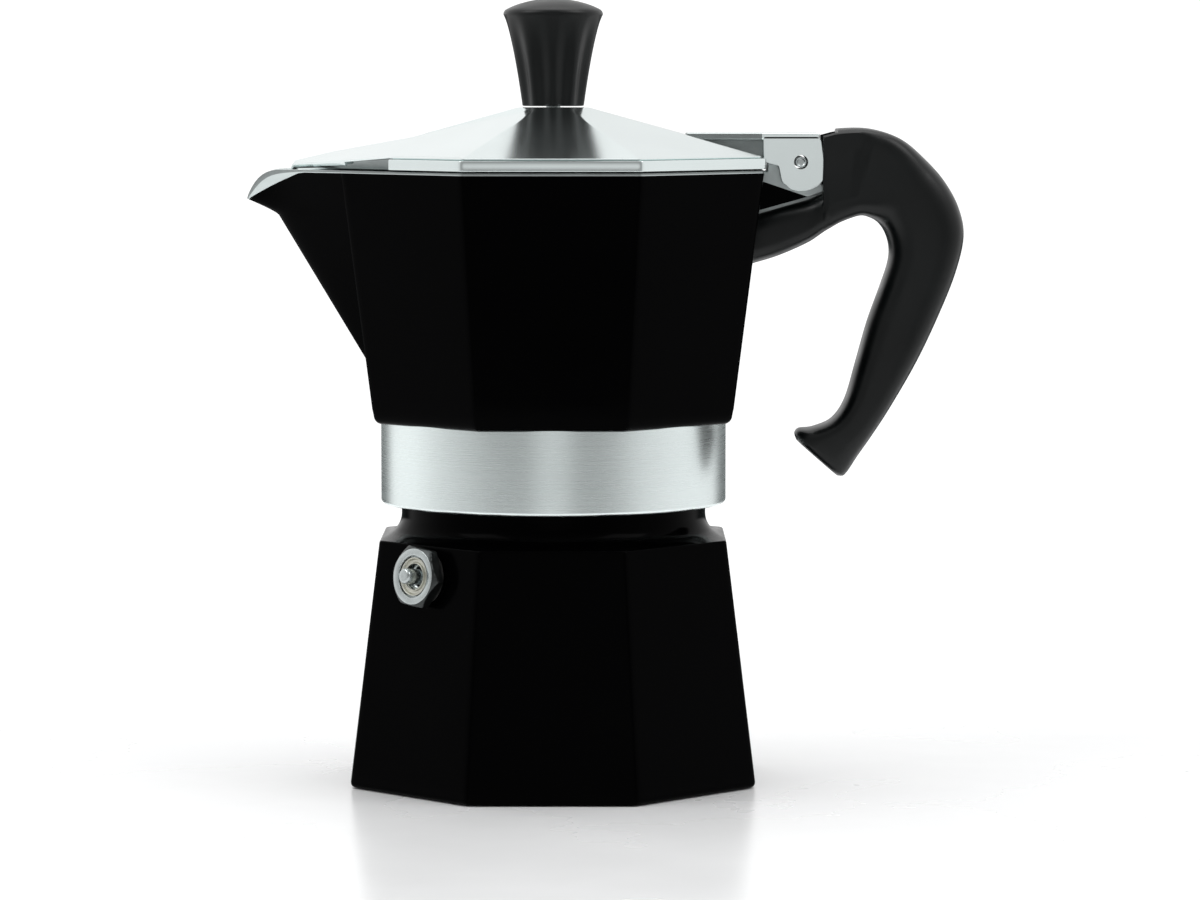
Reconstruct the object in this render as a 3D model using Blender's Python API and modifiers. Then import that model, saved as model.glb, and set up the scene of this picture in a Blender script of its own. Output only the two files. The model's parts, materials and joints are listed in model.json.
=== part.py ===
"""Stovetop moka pot: boiler, funnel, collector, lid, handle and safety valve.

Frame: metres, +Z up. The origin is on the pot's axis, in the plane that it stands on.
The spout points to -X, the handle to +X, and one flat side of the octagon faces -Y.
"""

import math

import bmesh
import bpy
from mathutils import Matrix, Vector

MM = 0.001
GAP = 0.3 * MM                     # clearance between pieces that touch on the real pot
FACETS = 8
HALF_FACET = math.pi / FACETS      # half the angle that one flat side covers

# Boiler
BASE_APOTHEM = 42.7 * MM
SHOULDER_APOTHEM = 36.2 * MM
SHOULDER_Z = 52.5 * MM
BOILER_WALL = 3.0 * MM
NECK_R = 32.2 * MM
NECK_BORE_R = 29.7 * MM
NECK_TOP_Z = 70.9 * MM
NECK_FILLET = 2.9 * MM
BASE_ROUND = 1.2 * MM

# Thread between the boiler and the collector, right-handed
PITCH = 3.0 * MM
THREAD_Z = 61.0 * MM
THREAD_TURNS = 2.75
MALE_CREST_R = 33.55 * MM
FEMALE_ROOT_R = 33.95 * MM
FEMALE_CREST_R = 32.6 * MM
RIDGE_FOOT = 1.55 * MM
RIDGE_CREST = 0.75 * MM
ROUND_STEPS = 40

# Collector
COLLAR_R = 36.5 * MM
COLLAR_BOTTOM_Z = 59.2 * MM
COLLAR_EDGE = 0.5 * MM
BODY_BOTTOM_Z = 76.2 * MM
BODY_FLARE_Z = 79.5 * MM
BODY_TOP_Z = 129.2 * MM
BODY_FLARE_APOTHEM = 37.8 * MM
BODY_TOP_APOTHEM = 44.0 * MM
BODY_WALL = 2.2 * MM
SEAT_Z = 75.6 * MM
GASKET_POCKET_R = 33.0 * MM
PLATE_POCKET_R = 27.0 * MM
PLATE_POCKET_Z = 76.7 * MM
FLOOR_Z = 78.0 * MM
RISER_TOP_Z = 121.0 * MM
RISER_R = 5.6 * MM
RISER_BORE_R = 3.4 * MM
RISER_VENT_R = 1.7 * MM
RISER_VENT_DROP = 6.0 * MM         # from the riser's top down to its side holes

# Spout: its ridge leaves the body low down and runs straight up to the root of the lip
SPOUT_FOOT_Z = 87.4 * MM
LIP_ROOT_Z = 119.5 * MM
LIP_ROOT_X = -58.0 * MM
LIP_TIP_X = -64.8 * MM
LIP_DROP = 6.3 * MM
LIP_RUN = 10.0 * MM
LIP_CURVE = 3.8                    # how late the lip's edge falls away towards its tip
RIDGE_SOFTNESS = 2.2 * MM
NOSE_START_HALF = 1.0 * MM
NOSE_STEPS = 5

# Lid
LID_APOTHEM = 44.3 * MM
LID_BOTTOM_Z = 129.5 * MM
LID_BAND_TOP_Z = 131.7 * MM
LID_LEDGE = 0.7 * MM
LID_SLOPE_Z = 132.05 * MM
LID_HUB_APOTHEM = 7.5 * MM
LID_HUB_Z = 142.1 * MM
LID_WALL = 1.3 * MM

# Visor over the spout: points on the middle line as (x, z), and points of one side as (x, y, z)
VISOR_START_X = -29.6 * MM
VISOR_SIDE_X = -33.5 * MM
VISOR_RIDGE = (-46.5 * MM, 132.9 * MM)
VISOR_NOSE = (-54.6 * MM, 131.0 * MM)
VISOR_TAB = (-55.8 * MM, 128.6 * MM)
VISOR_CHEEK = (-43.4 * MM, 18.3 * MM, 131.3 * MM)
VISOR_BROW = (-50.2 * MM, 8.6 * MM, 130.6 * MM)
VISOR_LIP = (-54.9 * MM, 3.2 * MM, 130.3 * MM)
VISOR_CHIN = (-55.6 * MM, 2.8 * MM, 128.6 * MM)

# Hinge between lid and collector
PIN_X = 52.0 * MM
PIN_Z = 130.7 * MM
PIN_R = 1.15 * MM
PIN_HOLE_R = 1.5 * MM
LUG_HALF = 5.0 * MM
EYE_R = 4.3 * MM
EAR_INNER = 5.3 * MM
EAR_OUTER = 7.3 * MM
EAR_FOOT_R = 6.1 * MM              # the ear's lower end is round about the pin
EAR_TOP_Z = 136.2 * MM
WEB_HALF = 4.7 * MM
BRACKET_TOP_Z = 136.8 * MM
BRACKET_PLATE = 1.4 * MM
BRACKET_TIP_X = 28.0 * MM
BRACKET_END_X = 55.9 * MM
SWING_R = 7.8 * MM

# Handle
TANG_HALF = 3.0 * MM
HANDLE_SQUARENESS = 0.62           # 1 gives an oval section, 0 a rectangle
HANDLE_SHOULDER_SQUARENESS = 0.32  # sections beside the lid's ears
HANDLE_SHOULDER_FROM = 130.0       # mm, outer heights between which the sections grow square
HANDLE_SHOULDER_TO = 136.6
HANDLE_SECTION_STEPS = 16
HANDLE_SCREW_X = 52.5 * MM
HANDLE_SCREW_Z = 115.2 * MM
HANDLE_SCREW_R = 1.2 * MM
HANDLE_SCREW_HEAD_R = 2.4 * MM

# Knob
KNOB_Z = 142.4 * MM
KNOB_TOP_Z = 165.0 * MM
KNOB_RIM_R = 10.5 * MM
KNOB_WAIST_R = 6.7 * MM
KNOB_DOME = 3.4 * MM               # from the widest rim up to the top
KNOB_FLUTES = 10
KNOB_FLUTE_DEPTH = 0.75 * MM
KNOB_HOLE_DEPTH = 12.0 * MM
KNOB_SCREW_R = 1.5 * MM
SCREW_WASHER = 0.6 * MM

# Funnel and filters
FUNNEL_R = 29.2 * MM
FUNNEL_SKIN = 0.8 * MM
FUNNEL_FLANGE_R = 31.4 * MM
FUNNEL_FLANGE_Z = 72.0 * MM
FUNNEL_CUP_Z = 50.0 * MM
FUNNEL_CONE_Z = 40.0 * MM
STEM_R = 5.5 * MM
STEM_END_Z = 9.0 * MM
GASKET_OUTER_R = 32.2 * MM
GASKET_INNER_R = 25.2 * MM
PLATE_R = 26.6 * MM

# Safety valve: it stands square to the facet between the front and the spout side
VALVE_Z = 45.3 * MM
HEX_FLATS = 12.0 * MM
HEX_HEIGHT = 2.6 * MM
HEX_TURN = -20.0                   # degrees about the valve's axis
VALVE_SHANK_R = 4.8 * MM
VALVE_BORE_R = 3.5 * MM
VALVE_INNER_END = -8.5 * MM
VALVE_WASHER = 0.6 * MM
VALVE_FACE_R = 4.3 * MM            # the recess in the hexagon's face
VALVE_FACE_DEPTH = 1.3 * MM
VALVE_PIN_R = 1.6 * MM
VALVE_PIN_OUT = 2.6 * MM           # how far the pin stands out of the face
VALVE_SEAT_R = 1.1 * MM
VALVE_SEAT_Z = VALVE_INNER_END + 1.2 * MM
RETAINER_DEPTH = 0.3 * MM
RETAINER_HEIGHT = 0.75 * MM
SPRING_WIRE_R = 0.35 * MM
SPRING_TURNS = 5


def clear_scene():
    for obj in list(bpy.data.objects):
        bpy.data.objects.remove(obj, do_unlink=True)


def new_collection(name):
    collection = bpy.data.collections.new(name)
    bpy.context.scene.collection.children.link(collection)
    return collection


def material(name, colour, roughness, metallic):
    mat = bpy.data.materials.new(name)
    mat.use_nodes = True
    shader = mat.node_tree.nodes["Principled BSDF"]
    shader.inputs["Base Color"].default_value = (*colour, 1.0)
    shader.inputs["Roughness"].default_value = roughness
    shader.inputs["Metallic"].default_value = metallic
    return mat


clear_scene()
PARTS = new_collection("moka_pot")
CUTTERS = new_collection("moka_pot_cutters")

PAINT = material("black_paint", (0.01, 0.01, 0.011), 0.25, 0.0)
SHEET = material("sheet_aluminium", (0.72, 0.74, 0.76), 0.3, 1.0)
PHENOLIC = material("phenolic", (0.015, 0.017, 0.018), 0.35, 0.0)
STEEL = material("plated_steel", (0.55, 0.56, 0.56), 0.3, 1.0)
BRASS = material("brass", (0.72, 0.56, 0.28), 0.35, 1.0)
RUBBER = material("rubber", (0.75, 0.74, 0.7), 0.7, 0.0)


def place(name, mesh, mat):
    """Puts a mesh in the scene: in the parts when it has a material, else among the cutters."""
    obj = bpy.data.objects.new(name, mesh)
    if mat is None:
        CUTTERS.objects.link(obj)
        obj.hide_render = True
        obj.display_type = "WIRE"
    else:
        mesh.materials.append(mat)
        PARTS.objects.link(obj)
    return obj


def mesh_from(name, bm, mat):
    mesh = bpy.data.meshes.new(name)
    bm.to_mesh(mesh)
    bm.free()
    return place(name, mesh, mat)


def smooth(obj, angle=35.0):
    obj.data.shade_smooth()
    obj.data.set_sharp_from_angle(angle=math.radians(angle))


def turned(name, profile, mat=None, steps=ROUND_STEPS):
    """A profile of (radius, height) points, outer side from top to bottom, turned about +Z."""
    bm = bmesh.new()
    verts = [bm.verts.new((radius, 0.0, height)) for radius, height in profile]
    for first, second in zip(verts, verts[1:]):
        bm.edges.new((first, second))
    if profile[0][0] > 0.0 and profile[-1][0] > 0.0:
        bm.edges.new((verts[-1], verts[0]))
    obj = mesh_from(name, bm, mat)
    screw = obj.modifiers.new("turn", "SCREW")
    screw.axis = "Z"
    screw.steps = steps
    screw.render_steps = steps
    screw.use_merge_vertices = True
    screw.merge_threshold = 0.00001
    return obj


def arc(centre, radius, start, end, steps):
    """Points on an arc in a profile plane, both ends included; angles in degrees."""
    points = []
    for i in range(steps + 1):
        angle = math.radians(start + (end - start) * i / steps)
        points.append((centre[0] + radius * math.cos(angle), centre[1] + radius * math.sin(angle)))
    return points


def plate_xz(name, outline, near, far, mat=None):
    """A flat outline in the XZ plane that fills from y = near to y = far."""
    curve = bpy.data.curves.new(name, "CURVE")
    curve.dimensions = "2D"
    curve.fill_mode = "BOTH"
    curve.extrude = (far - near) / 2
    spline = curve.splines.new("POLY")
    spline.points.add(len(outline) - 1)
    for point, (x, z) in zip(spline.points, outline):
        point.co = (x, z, 0.0, 1.0)
    spline.use_cyclic_u = True
    obj = bpy.data.objects.new(name + "_outline", curve)
    PARTS.objects.link(obj)
    obj.rotation_euler = (math.pi / 2, 0.0, 0.0)
    obj.location = (0.0, (near + far) / 2, 0.0)
    return solid_from_curve(name, obj, mat)


def solid_from_curve(name, curve_obj, mat):
    """Turns a curve object into a mesh object with its caps welded, in the same place."""
    bpy.context.view_layer.update()
    evaluated = curve_obj.evaluated_get(bpy.context.evaluated_depsgraph_get())
    mesh = bpy.data.meshes.new_from_object(evaluated)
    mesh.transform(curve_obj.matrix_world)
    bm = bmesh.new()
    bm.from_mesh(mesh)
    bmesh.ops.remove_doubles(bm, verts=bm.verts, dist=0.000001)
    bmesh.ops.recalc_face_normals(bm, faces=bm.faces)
    bm.to_mesh(mesh)
    bm.free()
    mesh.materials.clear()
    bpy.data.objects.remove(curve_obj, do_unlink=True)
    return place(name, mesh, mat)


def cylinder(name, radius, start, end, mat=None, steps=24):
    """A round bar from one point to another."""
    start = Vector(start)
    end = Vector(end)
    axis = end - start
    bm = bmesh.new()
    bmesh.ops.create_cone(bm, segments=steps, cap_ends=True, radius1=radius, radius2=radius,
                          depth=axis.length)
    turn = Vector((0.0, 0.0, 1.0)).rotation_difference(axis).to_matrix().to_4x4()
    bm.transform(Matrix.Translation((start + end) / 2) @ turn)
    return mesh_from(name, bm, mat)


def box(name, low, high, mat=None):
    bm = bmesh.new()
    bmesh.ops.create_cube(bm, size=1.0)
    size = [b - a for a, b in zip(low, high)]
    middle = [(a + b) / 2 for a, b in zip(low, high)]
    bm.transform(Matrix.Translation(middle) @ Matrix.Diagonal((*size, 1.0)))
    return mesh_from(name, bm, mat)


def boolean(obj, other, operation):
    modifier = obj.modifiers.new(other.name, "BOOLEAN")
    modifier.operation = operation
    modifier.solver = "EXACT"
    modifier.object = other
    return modifier


def cut(obj, cutter):
    boolean(obj, cutter, "DIFFERENCE")


def join(obj, other):
    boolean(obj, other, "UNION")


def loft(name, rings, mat, caps=True):
    """A skin through rings that have the same number of points; each ring runs anticlockwise."""
    bm = bmesh.new()
    rows = [[bm.verts.new(point) for point in ring] for ring in rings]
    count = len(rings[0])
    for lower, upper in zip(rows, rows[1:]):
        for i in range(count):
            j = (i + 1) % count
            bm.faces.new((lower[i], lower[j], upper[j], upper[i]))
    if caps:
        bm.faces.new(list(reversed(rows[0])))
        bm.faces.new(rows[-1])
    return mesh_from(name, bm, mat)


def octagon(apothem, z):
    """Corners of the eight-sided section, anticlockwise from the one just past +X."""
    radius = apothem / math.cos(HALF_FACET)
    corners = []
    for i in range(FACETS):
        angle = HALF_FACET * (2 * i + 1)
        corners.append((radius * math.cos(angle), radius * math.sin(angle), z))
    return corners


def ridge_thread(name, foot_r, crest_r, start_z, turns):
    """A right-handed helical ridge whose height runs out to nothing at both ends."""
    steps = int(ROUND_STEPS * turns)
    runout = ROUND_STEPS // 6
    rings = []
    for i in range(steps + 1):
        angle = 2 * math.pi * i / ROUND_STEPS
        z = start_z + PITCH * i / ROUND_STEPS
        rise = min(1.0, (i + 0.5) / runout, (steps - i + 0.5) / runout)
        crest = foot_r + (crest_r - foot_r) * rise
        section = [
            (foot_r, z - RIDGE_FOOT / 2),
            (crest, z - RIDGE_CREST / 2),
            (crest, z + RIDGE_CREST / 2),
            (foot_r, z + RIDGE_FOOT / 2),
        ]
        if crest_r < foot_r:
            section.reverse()
        rings.append([(r * math.cos(angle), r * math.sin(angle), height) for r, height in section])
    obj = loft(name, rings, None)
    bm = bmesh.new()
    bm.from_mesh(obj.data)
    bmesh.ops.recalc_face_normals(bm, faces=bm.faces)
    bm.to_mesh(obj.data)
    bm.free()
    return obj


# ------------------------------------------------------------------ boiler

def boiler_cavity():
    """Water space: follows the taper of the outside and closes in at the neck."""
    low_r = BASE_APOTHEM - BOILER_WALL
    high_r = SHOULDER_APOTHEM - BOILER_WALL
    corner = 3.0 * MM
    profile = [
        (0.0, NECK_TOP_Z + 2 * MM),
        (NECK_BORE_R, NECK_TOP_Z + 2 * MM),
        (NECK_BORE_R, SHOULDER_Z - 2.5 * MM),
        (high_r, SHOULDER_Z - 6.5 * MM),
    ]
    profile += arc((low_r - corner, BOILER_WALL + corner), corner, 0, -90, 3)
    profile.append((0.0, BOILER_WALL))
    return turned("boiler_cavity", profile)


def boiler_neck():
    """Round neck with the concave sweep that meets the shoulder."""
    centre = (NECK_R + NECK_FILLET, SHOULDER_Z + NECK_FILLET - 0.2 * MM)
    profile = [(0.0, NECK_TOP_Z), (NECK_R - 0.5 * MM, NECK_TOP_Z), (NECK_R, NECK_TOP_Z - 0.5 * MM)]
    profile += arc(centre, NECK_FILLET, 180, 262, 4)
    profile += [(NECK_R + NECK_FILLET - 0.4 * MM, SHOULDER_Z - 4 * MM), (0.0, SHOULDER_Z - 4 * MM)]
    return turned("boiler_neck", profile)


def make_boiler():
    bm = bmesh.new()
    widen = 1 / math.cos(HALF_FACET)
    bmesh.ops.create_cone(bm, segments=FACETS, cap_ends=True, radius1=BASE_APOTHEM * widen,
                          radius2=SHOULDER_APOTHEM * widen, depth=SHOULDER_Z)
    bm.transform(Matrix.Translation((0, 0, SHOULDER_Z / 2)) @ Matrix.Rotation(HALF_FACET, 4, "Z"))
    boiler = mesh_from("boiler", bm, PAINT)
    bevel = boiler.modifiers.new("soft_edges", "BEVEL")
    bevel.width = BASE_ROUND
    bevel.segments = 2
    bevel.limit_method = "ANGLE"
    bevel.angle_limit = math.radians(20)
    join(boiler, boiler_neck())
    cut(boiler, boiler_cavity())
    join(boiler, ridge_thread("boiler_thread", NECK_R - 0.4 * MM, MALE_CREST_R, THREAD_Z, THREAD_TURNS))
    inner = valve_point(VALVE_INNER_END)
    outer = valve_point(6 * MM)
    cut(boiler, cylinder("valve_hole", VALVE_SHANK_R + GAP, inner, outer))
    smooth(boiler)
    return boiler


# ------------------------------------------------------------------ safety valve

def valve_axis():
    lean = math.atan2(BASE_APOTHEM - SHOULDER_APOTHEM, SHOULDER_Z)
    flat = math.cos(lean) / math.sqrt(2)
    return Vector((-flat, -flat, math.sin(lean)))


def valve_point(distance):
    """A point on the valve's axis, at a distance out of the boiler's facet."""
    apothem = BASE_APOTHEM - (BASE_APOTHEM - SHOULDER_APOTHEM) * VALVE_Z / SHOULDER_Z
    foot = Vector((-apothem / math.sqrt(2), -apothem / math.sqrt(2), VALVE_Z))
    return foot + valve_axis() * distance


def valve_face():
    """Distance from the boiler's facet to the hexagon's outer face."""
    return GAP + VALVE_WASHER + GAP + HEX_HEIGHT


def set_on_valve_axis(obj):
    """Moves a piece drawn about +Z so that its z = 0 lies on the boiler's facet."""
    axis = valve_axis()
    side = axis.cross(Vector((0.0, 0.0, 1.0))).normalized()
    up = side.cross(axis).normalized()
    turn = Matrix((side, up, axis)).transposed().to_4x4()
    obj.matrix_world = Matrix.Translation(valve_point(0.0)) @ turn
    return obj


def make_valve_body():
    """Hexagon with a chamfered face, a hollow shank and the seat at its inner end."""
    face = valve_face()
    bm = bmesh.new()
    corner = HEX_FLATS / 2 / math.cos(math.pi / 6)
    bmesh.ops.create_cone(bm, segments=6, cap_ends=True, radius1=corner, radius2=corner, depth=HEX_HEIGHT)
    bm.transform(Matrix.Rotation(math.radians(HEX_TURN), 4, "Z"))
    bm.transform(Matrix.Translation((0, 0, face - HEX_HEIGHT / 2)))
    body = mesh_from("valve_body", bm, STEEL)
    rim = HEX_FLATS / 2
    cone = turned("valve_chamfer", [(0.0, face + 2 * MM), (rim + 4 * MM, face + 2 * MM),
                                    (rim + 4 * MM, face - 1.9 * MM), (rim - 0.2 * MM, face + 0.25 * MM),
                                    (0.0, face + 0.25 * MM)], steps=36)
    cut(body, cone)
    shank = [(0.0, face - 1 * MM), (VALVE_SHANK_R, face - 1 * MM), (VALVE_SHANK_R, VALVE_INNER_END),
             (0.0, VALVE_INNER_END)]
    join(body, turned("valve_shank", shank, steps=32))
    step = face - VALVE_FACE_DEPTH
    bore = [(0.0, face + 1 * MM), (VALVE_FACE_R, face + 1 * MM), (VALVE_FACE_R, step), (VALVE_BORE_R, step),
            (VALVE_BORE_R, VALVE_SEAT_Z + 1.8 * MM), (VALVE_SEAT_R, VALVE_SEAT_Z),
            (VALVE_SEAT_R, VALVE_INNER_END - 1 * MM), (0.0, VALVE_INNER_END - 1 * MM)]
    cut(body, turned("valve_bore", bore, steps=32))
    for piece in [body, *(m.object for m in body.modifiers)]:
        set_on_valve_axis(piece)
    smooth(body)
    return body


def make_valve_gasket():
    low = GAP
    high = GAP + VALVE_WASHER
    inner = VALVE_SHANK_R + GAP
    profile = [(5.7 * MM, high), (5.7 * MM, low), (inner, low), (inner, high)]
    obj = set_on_valve_axis(turned("valve_gasket", profile, RUBBER, 32))
    smooth(obj)


def make_valve_retainer():
    """Ring that sits in the face of the hexagon and holds the spring in."""
    top = valve_face() - RETAINER_DEPTH
    low = top - RETAINER_HEIGHT
    outer = VALVE_FACE_R - GAP
    inner = VALVE_BORE_R - 0.8 * MM
    profile = [(outer - 0.3 * MM, top), (outer, top - 0.3 * MM), (outer, low), (inner, low),
               (inner, top - 0.2 * MM), (inner + 0.2 * MM, top)]
    obj = set_on_valve_axis(turned("valve_retainer", profile, BRASS, 32))
    smooth(obj)


def plunger_head_z():
    return VALVE_SEAT_Z + 3.8 * MM


def make_valve_plunger():
    """Plug on the seat with the pin that shows in front of the valve."""
    head = plunger_head_z()
    tip = valve_face() + VALVE_PIN_OUT
    plug_r = VALVE_BORE_R - 0.4 * MM
    foot = VALVE_SEAT_Z + 0.6 * MM
    profile = [(0.0, tip), (VALVE_PIN_R - 0.5 * MM, tip), (VALVE_PIN_R, tip - 0.5 * MM), (VALVE_PIN_R, head),
               (plug_r, head), (plug_r, foot + 1.55 * MM), (VALVE_SEAT_R + 0.2 * MM, foot), (0.0, foot)]
    obj = set_on_valve_axis(turned("valve_plunger", profile, STEEL, 24))
    smooth(obj)


def make_valve_spring():
    """Coil between the plug and the retainer, with its ends closed on themselves."""
    low = plunger_head_z() + SPRING_WIRE_R + 0.1 * MM
    high = valve_face() - RETAINER_DEPTH - RETAINER_HEIGHT - SPRING_WIRE_R - 0.1 * MM
    per_turn = 14
    radius = 2.65 * MM
    curve = bpy.data.curves.new("valve_spring", "CURVE")
    curve.dimensions = "3D"
    curve.bevel_depth = SPRING_WIRE_R
    curve.bevel_resolution = 1
    curve.use_fill_caps = True
    spline = curve.splines.new("POLY")
    count = per_turn * SPRING_TURNS + 1
    spline.points.add(count - 1)
    for i, point in enumerate(spline.points):
        angle = 2 * math.pi * i / per_turn
        height = low + (high - low) * i / (count - 1)
        point.co = (radius * math.cos(angle), radius * math.sin(angle), height, 1.0)
    obj = bpy.data.objects.new("valve_spring_wire", curve)
    PARTS.objects.link(obj)
    spring = solid_from_curve("valve_spring", obj, STEEL)
    smooth(set_on_valve_axis(spring))


# ------------------------------------------------------------------ collector

def body_apothem(z):
    share = (z - BODY_FLARE_Z) / (BODY_TOP_Z - BODY_FLARE_Z)
    return BODY_FLARE_APOTHEM + (BODY_TOP_APOTHEM - BODY_FLARE_APOTHEM) * share


def body_ring(z, apothem, tip_x, tip_z):
    """Octagon whose side towards -X is drawn out into the nose of the spout.

    The nose is a hyperbola, so its flanks are nearly flat and its ridge is rounded.
    It grows from nothing at the foot of the spout to the whole side at the top.
    """
    corners = octagon(apothem, z)
    half_side = apothem * math.tan(HALF_FACET)
    reach = max(0.0, -apothem - tip_x)
    share = max(0.0, (z - SPOUT_FOOT_Z) / (BODY_TOP_Z - SPOUT_FOOT_Z))
    half_width = max(half_side * share, NOSE_START_HALF)
    soft = RIDGE_SOFTNESS * min(1.0, reach / (6 * MM))
    nose = []
    for i in range(-NOSE_STEPS, NOSE_STEPS + 1):
        part = abs(i) / NOSE_STEPS
        if reach < 0.1 * MM:
            x = -apothem
            y = half_width * i / NOSE_STEPS
        else:
            depth = reach * part ** 1.5
            full = math.sqrt((reach + soft) ** 2 - soft ** 2)
            x = tip_x + depth
            y = math.copysign(half_width * math.sqrt((depth + soft) ** 2 - soft ** 2) / full, i)
        fall = (z - tip_z) * max(0.0, 1 - (x - tip_x) / LIP_RUN) ** LIP_CURVE
        nose.append((x, -y, z - fall))
    return corners[:4] + nose + corners[4:]


def collector_shell():
    """Painted eight-sided wall with its spout, rounded in at the bottom; an open skin, thickened."""
    rings = []
    for apothem, z in ((33.0, 0.0), (35.6, 0.0), (37.0, 0.55), (37.6, 1.7)):
        ring_z = BODY_BOTTOM_Z + z * MM
        rings.append(body_ring(ring_z, apothem * MM, -apothem * MM, ring_z))
    rings.append(body_ring(BODY_FLARE_Z, BODY_FLARE_APOTHEM, -BODY_FLARE_APOTHEM, BODY_FLARE_Z))
    foot = body_apothem(SPOUT_FOOT_Z)
    rings.append(body_ring(SPOUT_FOOT_Z, foot, -foot, SPOUT_FOOT_Z))
    for share in (0.1, 0.4, 0.7, 1.0):
        z = SPOUT_FOOT_Z + (LIP_ROOT_Z - SPOUT_FOOT_Z) * share
        tip_x = -foot + (LIP_ROOT_X + foot) * share
        rings.append(body_ring(z, body_apothem(z), tip_x, z))
    for share in (0.5, 1.0):
        z = LIP_ROOT_Z + (BODY_TOP_Z - LIP_ROOT_Z) * share
        tip_x = LIP_ROOT_X + (LIP_TIP_X - LIP_ROOT_X) * share ** 1.2
        tip_z = LIP_ROOT_Z + (BODY_TOP_Z - LIP_DROP - LIP_ROOT_Z) * share
        rings.append(body_ring(z, body_apothem(z), tip_x, tip_z))
    shell = loft("collector", rings, PAINT, caps=False)
    wall = shell.modifiers.new("wall", "SOLIDIFY")
    wall.thickness = BODY_WALL
    wall.offset = -1.0
    wall.use_even_offset = True
    return shell


def collector_core():
    """Collar, chamber floor and riser column in one turned piece."""
    profile = [
        (0.0, RISER_TOP_Z),
        (RISER_R - 2.2 * MM, RISER_TOP_Z - 0.3 * MM),
        (RISER_R, RISER_TOP_Z - 2.5 * MM),
        (RISER_R + 1.3 * MM, 92.0 * MM),
        (9.5 * MM, 86.6 * MM),
        (30.0 * MM, FLOOR_Z),
        (COLLAR_R, FLOOR_Z),
        (COLLAR_R, COLLAR_BOTTOM_Z + COLLAR_EDGE),
        (COLLAR_R - COLLAR_EDGE, COLLAR_BOTTOM_Z),
        (0.0, COLLAR_BOTTOM_Z),
    ]
    return turned("collector_core", profile)


def collector_underside():
    """Everything open from below: thread bore, gasket pocket, plate pocket, dome and riser bore."""
    profile = [
        (0.0, RISER_TOP_Z - 4.0 * MM),
        (RISER_BORE_R - 0.6 * MM, RISER_TOP_Z - 4.0 * MM),
        (RISER_BORE_R, 90.0 * MM),
        (4.2 * MM, 84.2 * MM),
        (25.5 * MM, PLATE_POCKET_Z),
        (PLATE_POCKET_R, PLATE_POCKET_Z),
        (PLATE_POCKET_R, SEAT_Z),
        (GASKET_POCKET_R, SEAT_Z),
        (GASKET_POCKET_R, 71.2 * MM),
        (FEMALE_ROOT_R, 70.6 * MM),
        (FEMALE_ROOT_R, COLLAR_BOTTOM_Z - 1 * MM),
        (0.0, COLLAR_BOTTOM_Z - 1 * MM),
    ]
    return turned("collector_underside", profile)


def hinge_lug():
    """Cast lug that carries the hinge eye and runs on into the handle as a tang."""
    root_x = BODY_TOP_APOTHEM - 1.6 * MM
    arm = [(root_x, 120.3 * MM), (54.6 * MM, 123.7 * MM), (57.2 * MM, 124.6 * MM), (57.2 * MM, 125.4 * MM),
           (55.0 * MM, 127.4 * MM)]
    arm += arc((PIN_X, PIN_Z), EYE_R, -40, 220, 12)
    arm += [(47.2 * MM, 128.7 * MM), (root_x, 128.7 * MM)]
    return plate_xz("hinge_lug", arm, -LUG_HALF, LUG_HALF)


def handle_tang():
    root_x = BODY_TOP_APOTHEM - 3.0 * MM
    outline = [(root_x, 113.2 * MM), (48.6 * MM, 117.2 * MM), (54.9 * MM, 117.2 * MM),
               (58.1 * MM, 120.2 * MM), (66.0 * MM, 121.6 * MM), (66.0 * MM, 125.1 * MM),
               (50.0 * MM, 125.1 * MM), (root_x, 122.5 * MM)]
    return plate_xz("handle_tang", outline, -TANG_HALF, TANG_HALF)


def make_collector():
    collector = collector_shell()
    join(collector, hinge_lug())
    join(collector, handle_tang())
    join(collector, collector_core())
    cut(collector, collector_underside())
    female = ridge_thread("collector_thread", FEMALE_ROOT_R + 0.4 * MM, FEMALE_CREST_R, THREAD_Z - PITCH / 2,
                          THREAD_TURNS + 0.25)
    join(collector, female)
    eye = (PIN_X, -LUG_HALF - 2 * MM, PIN_Z)
    cut(collector, cylinder("pin_bore", PIN_R + 0.05 * MM + GAP, eye, (PIN_X, LUG_HALF + 2 * MM, PIN_Z)))
    vent_z = RISER_TOP_Z - RISER_VENT_DROP
    reach = 2 * RISER_R
    vent = cylinder("riser_vents", RISER_VENT_R, (0.0, -reach, vent_z), (0.0, reach, vent_z), steps=12)
    cut(collector, vent)
    tang_hole = cylinder("tang_hole", HANDLE_SCREW_R + GAP, (HANDLE_SCREW_X, 0, HANDLE_SCREW_Z - 5 * MM),
                         (HANDLE_SCREW_X, 0, HANDLE_SCREW_Z + 7.8 * MM), steps=12)
    cut(collector, tang_hole)
    reach = 80 * MM
    cut(collector, box("rim_facing", (-reach, -reach, BODY_TOP_Z), (45 * MM, reach, BODY_TOP_Z + 20 * MM)))
    smooth(collector, 30)
    return collector


# ------------------------------------------------------------------ seals and filters

def make_gasket():
    low = FUNNEL_FLANGE_Z + GAP
    high = SEAT_Z - GAP
    lip = 0.4 * MM
    profile = [(GASKET_OUTER_R - lip, high), (GASKET_OUTER_R, high - lip), (GASKET_OUTER_R, low + lip),
               (GASKET_OUTER_R - lip, low), (GASKET_INNER_R, low), (GASKET_INNER_R, high)]
    smooth(turned("gasket", profile, RUBBER))


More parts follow.
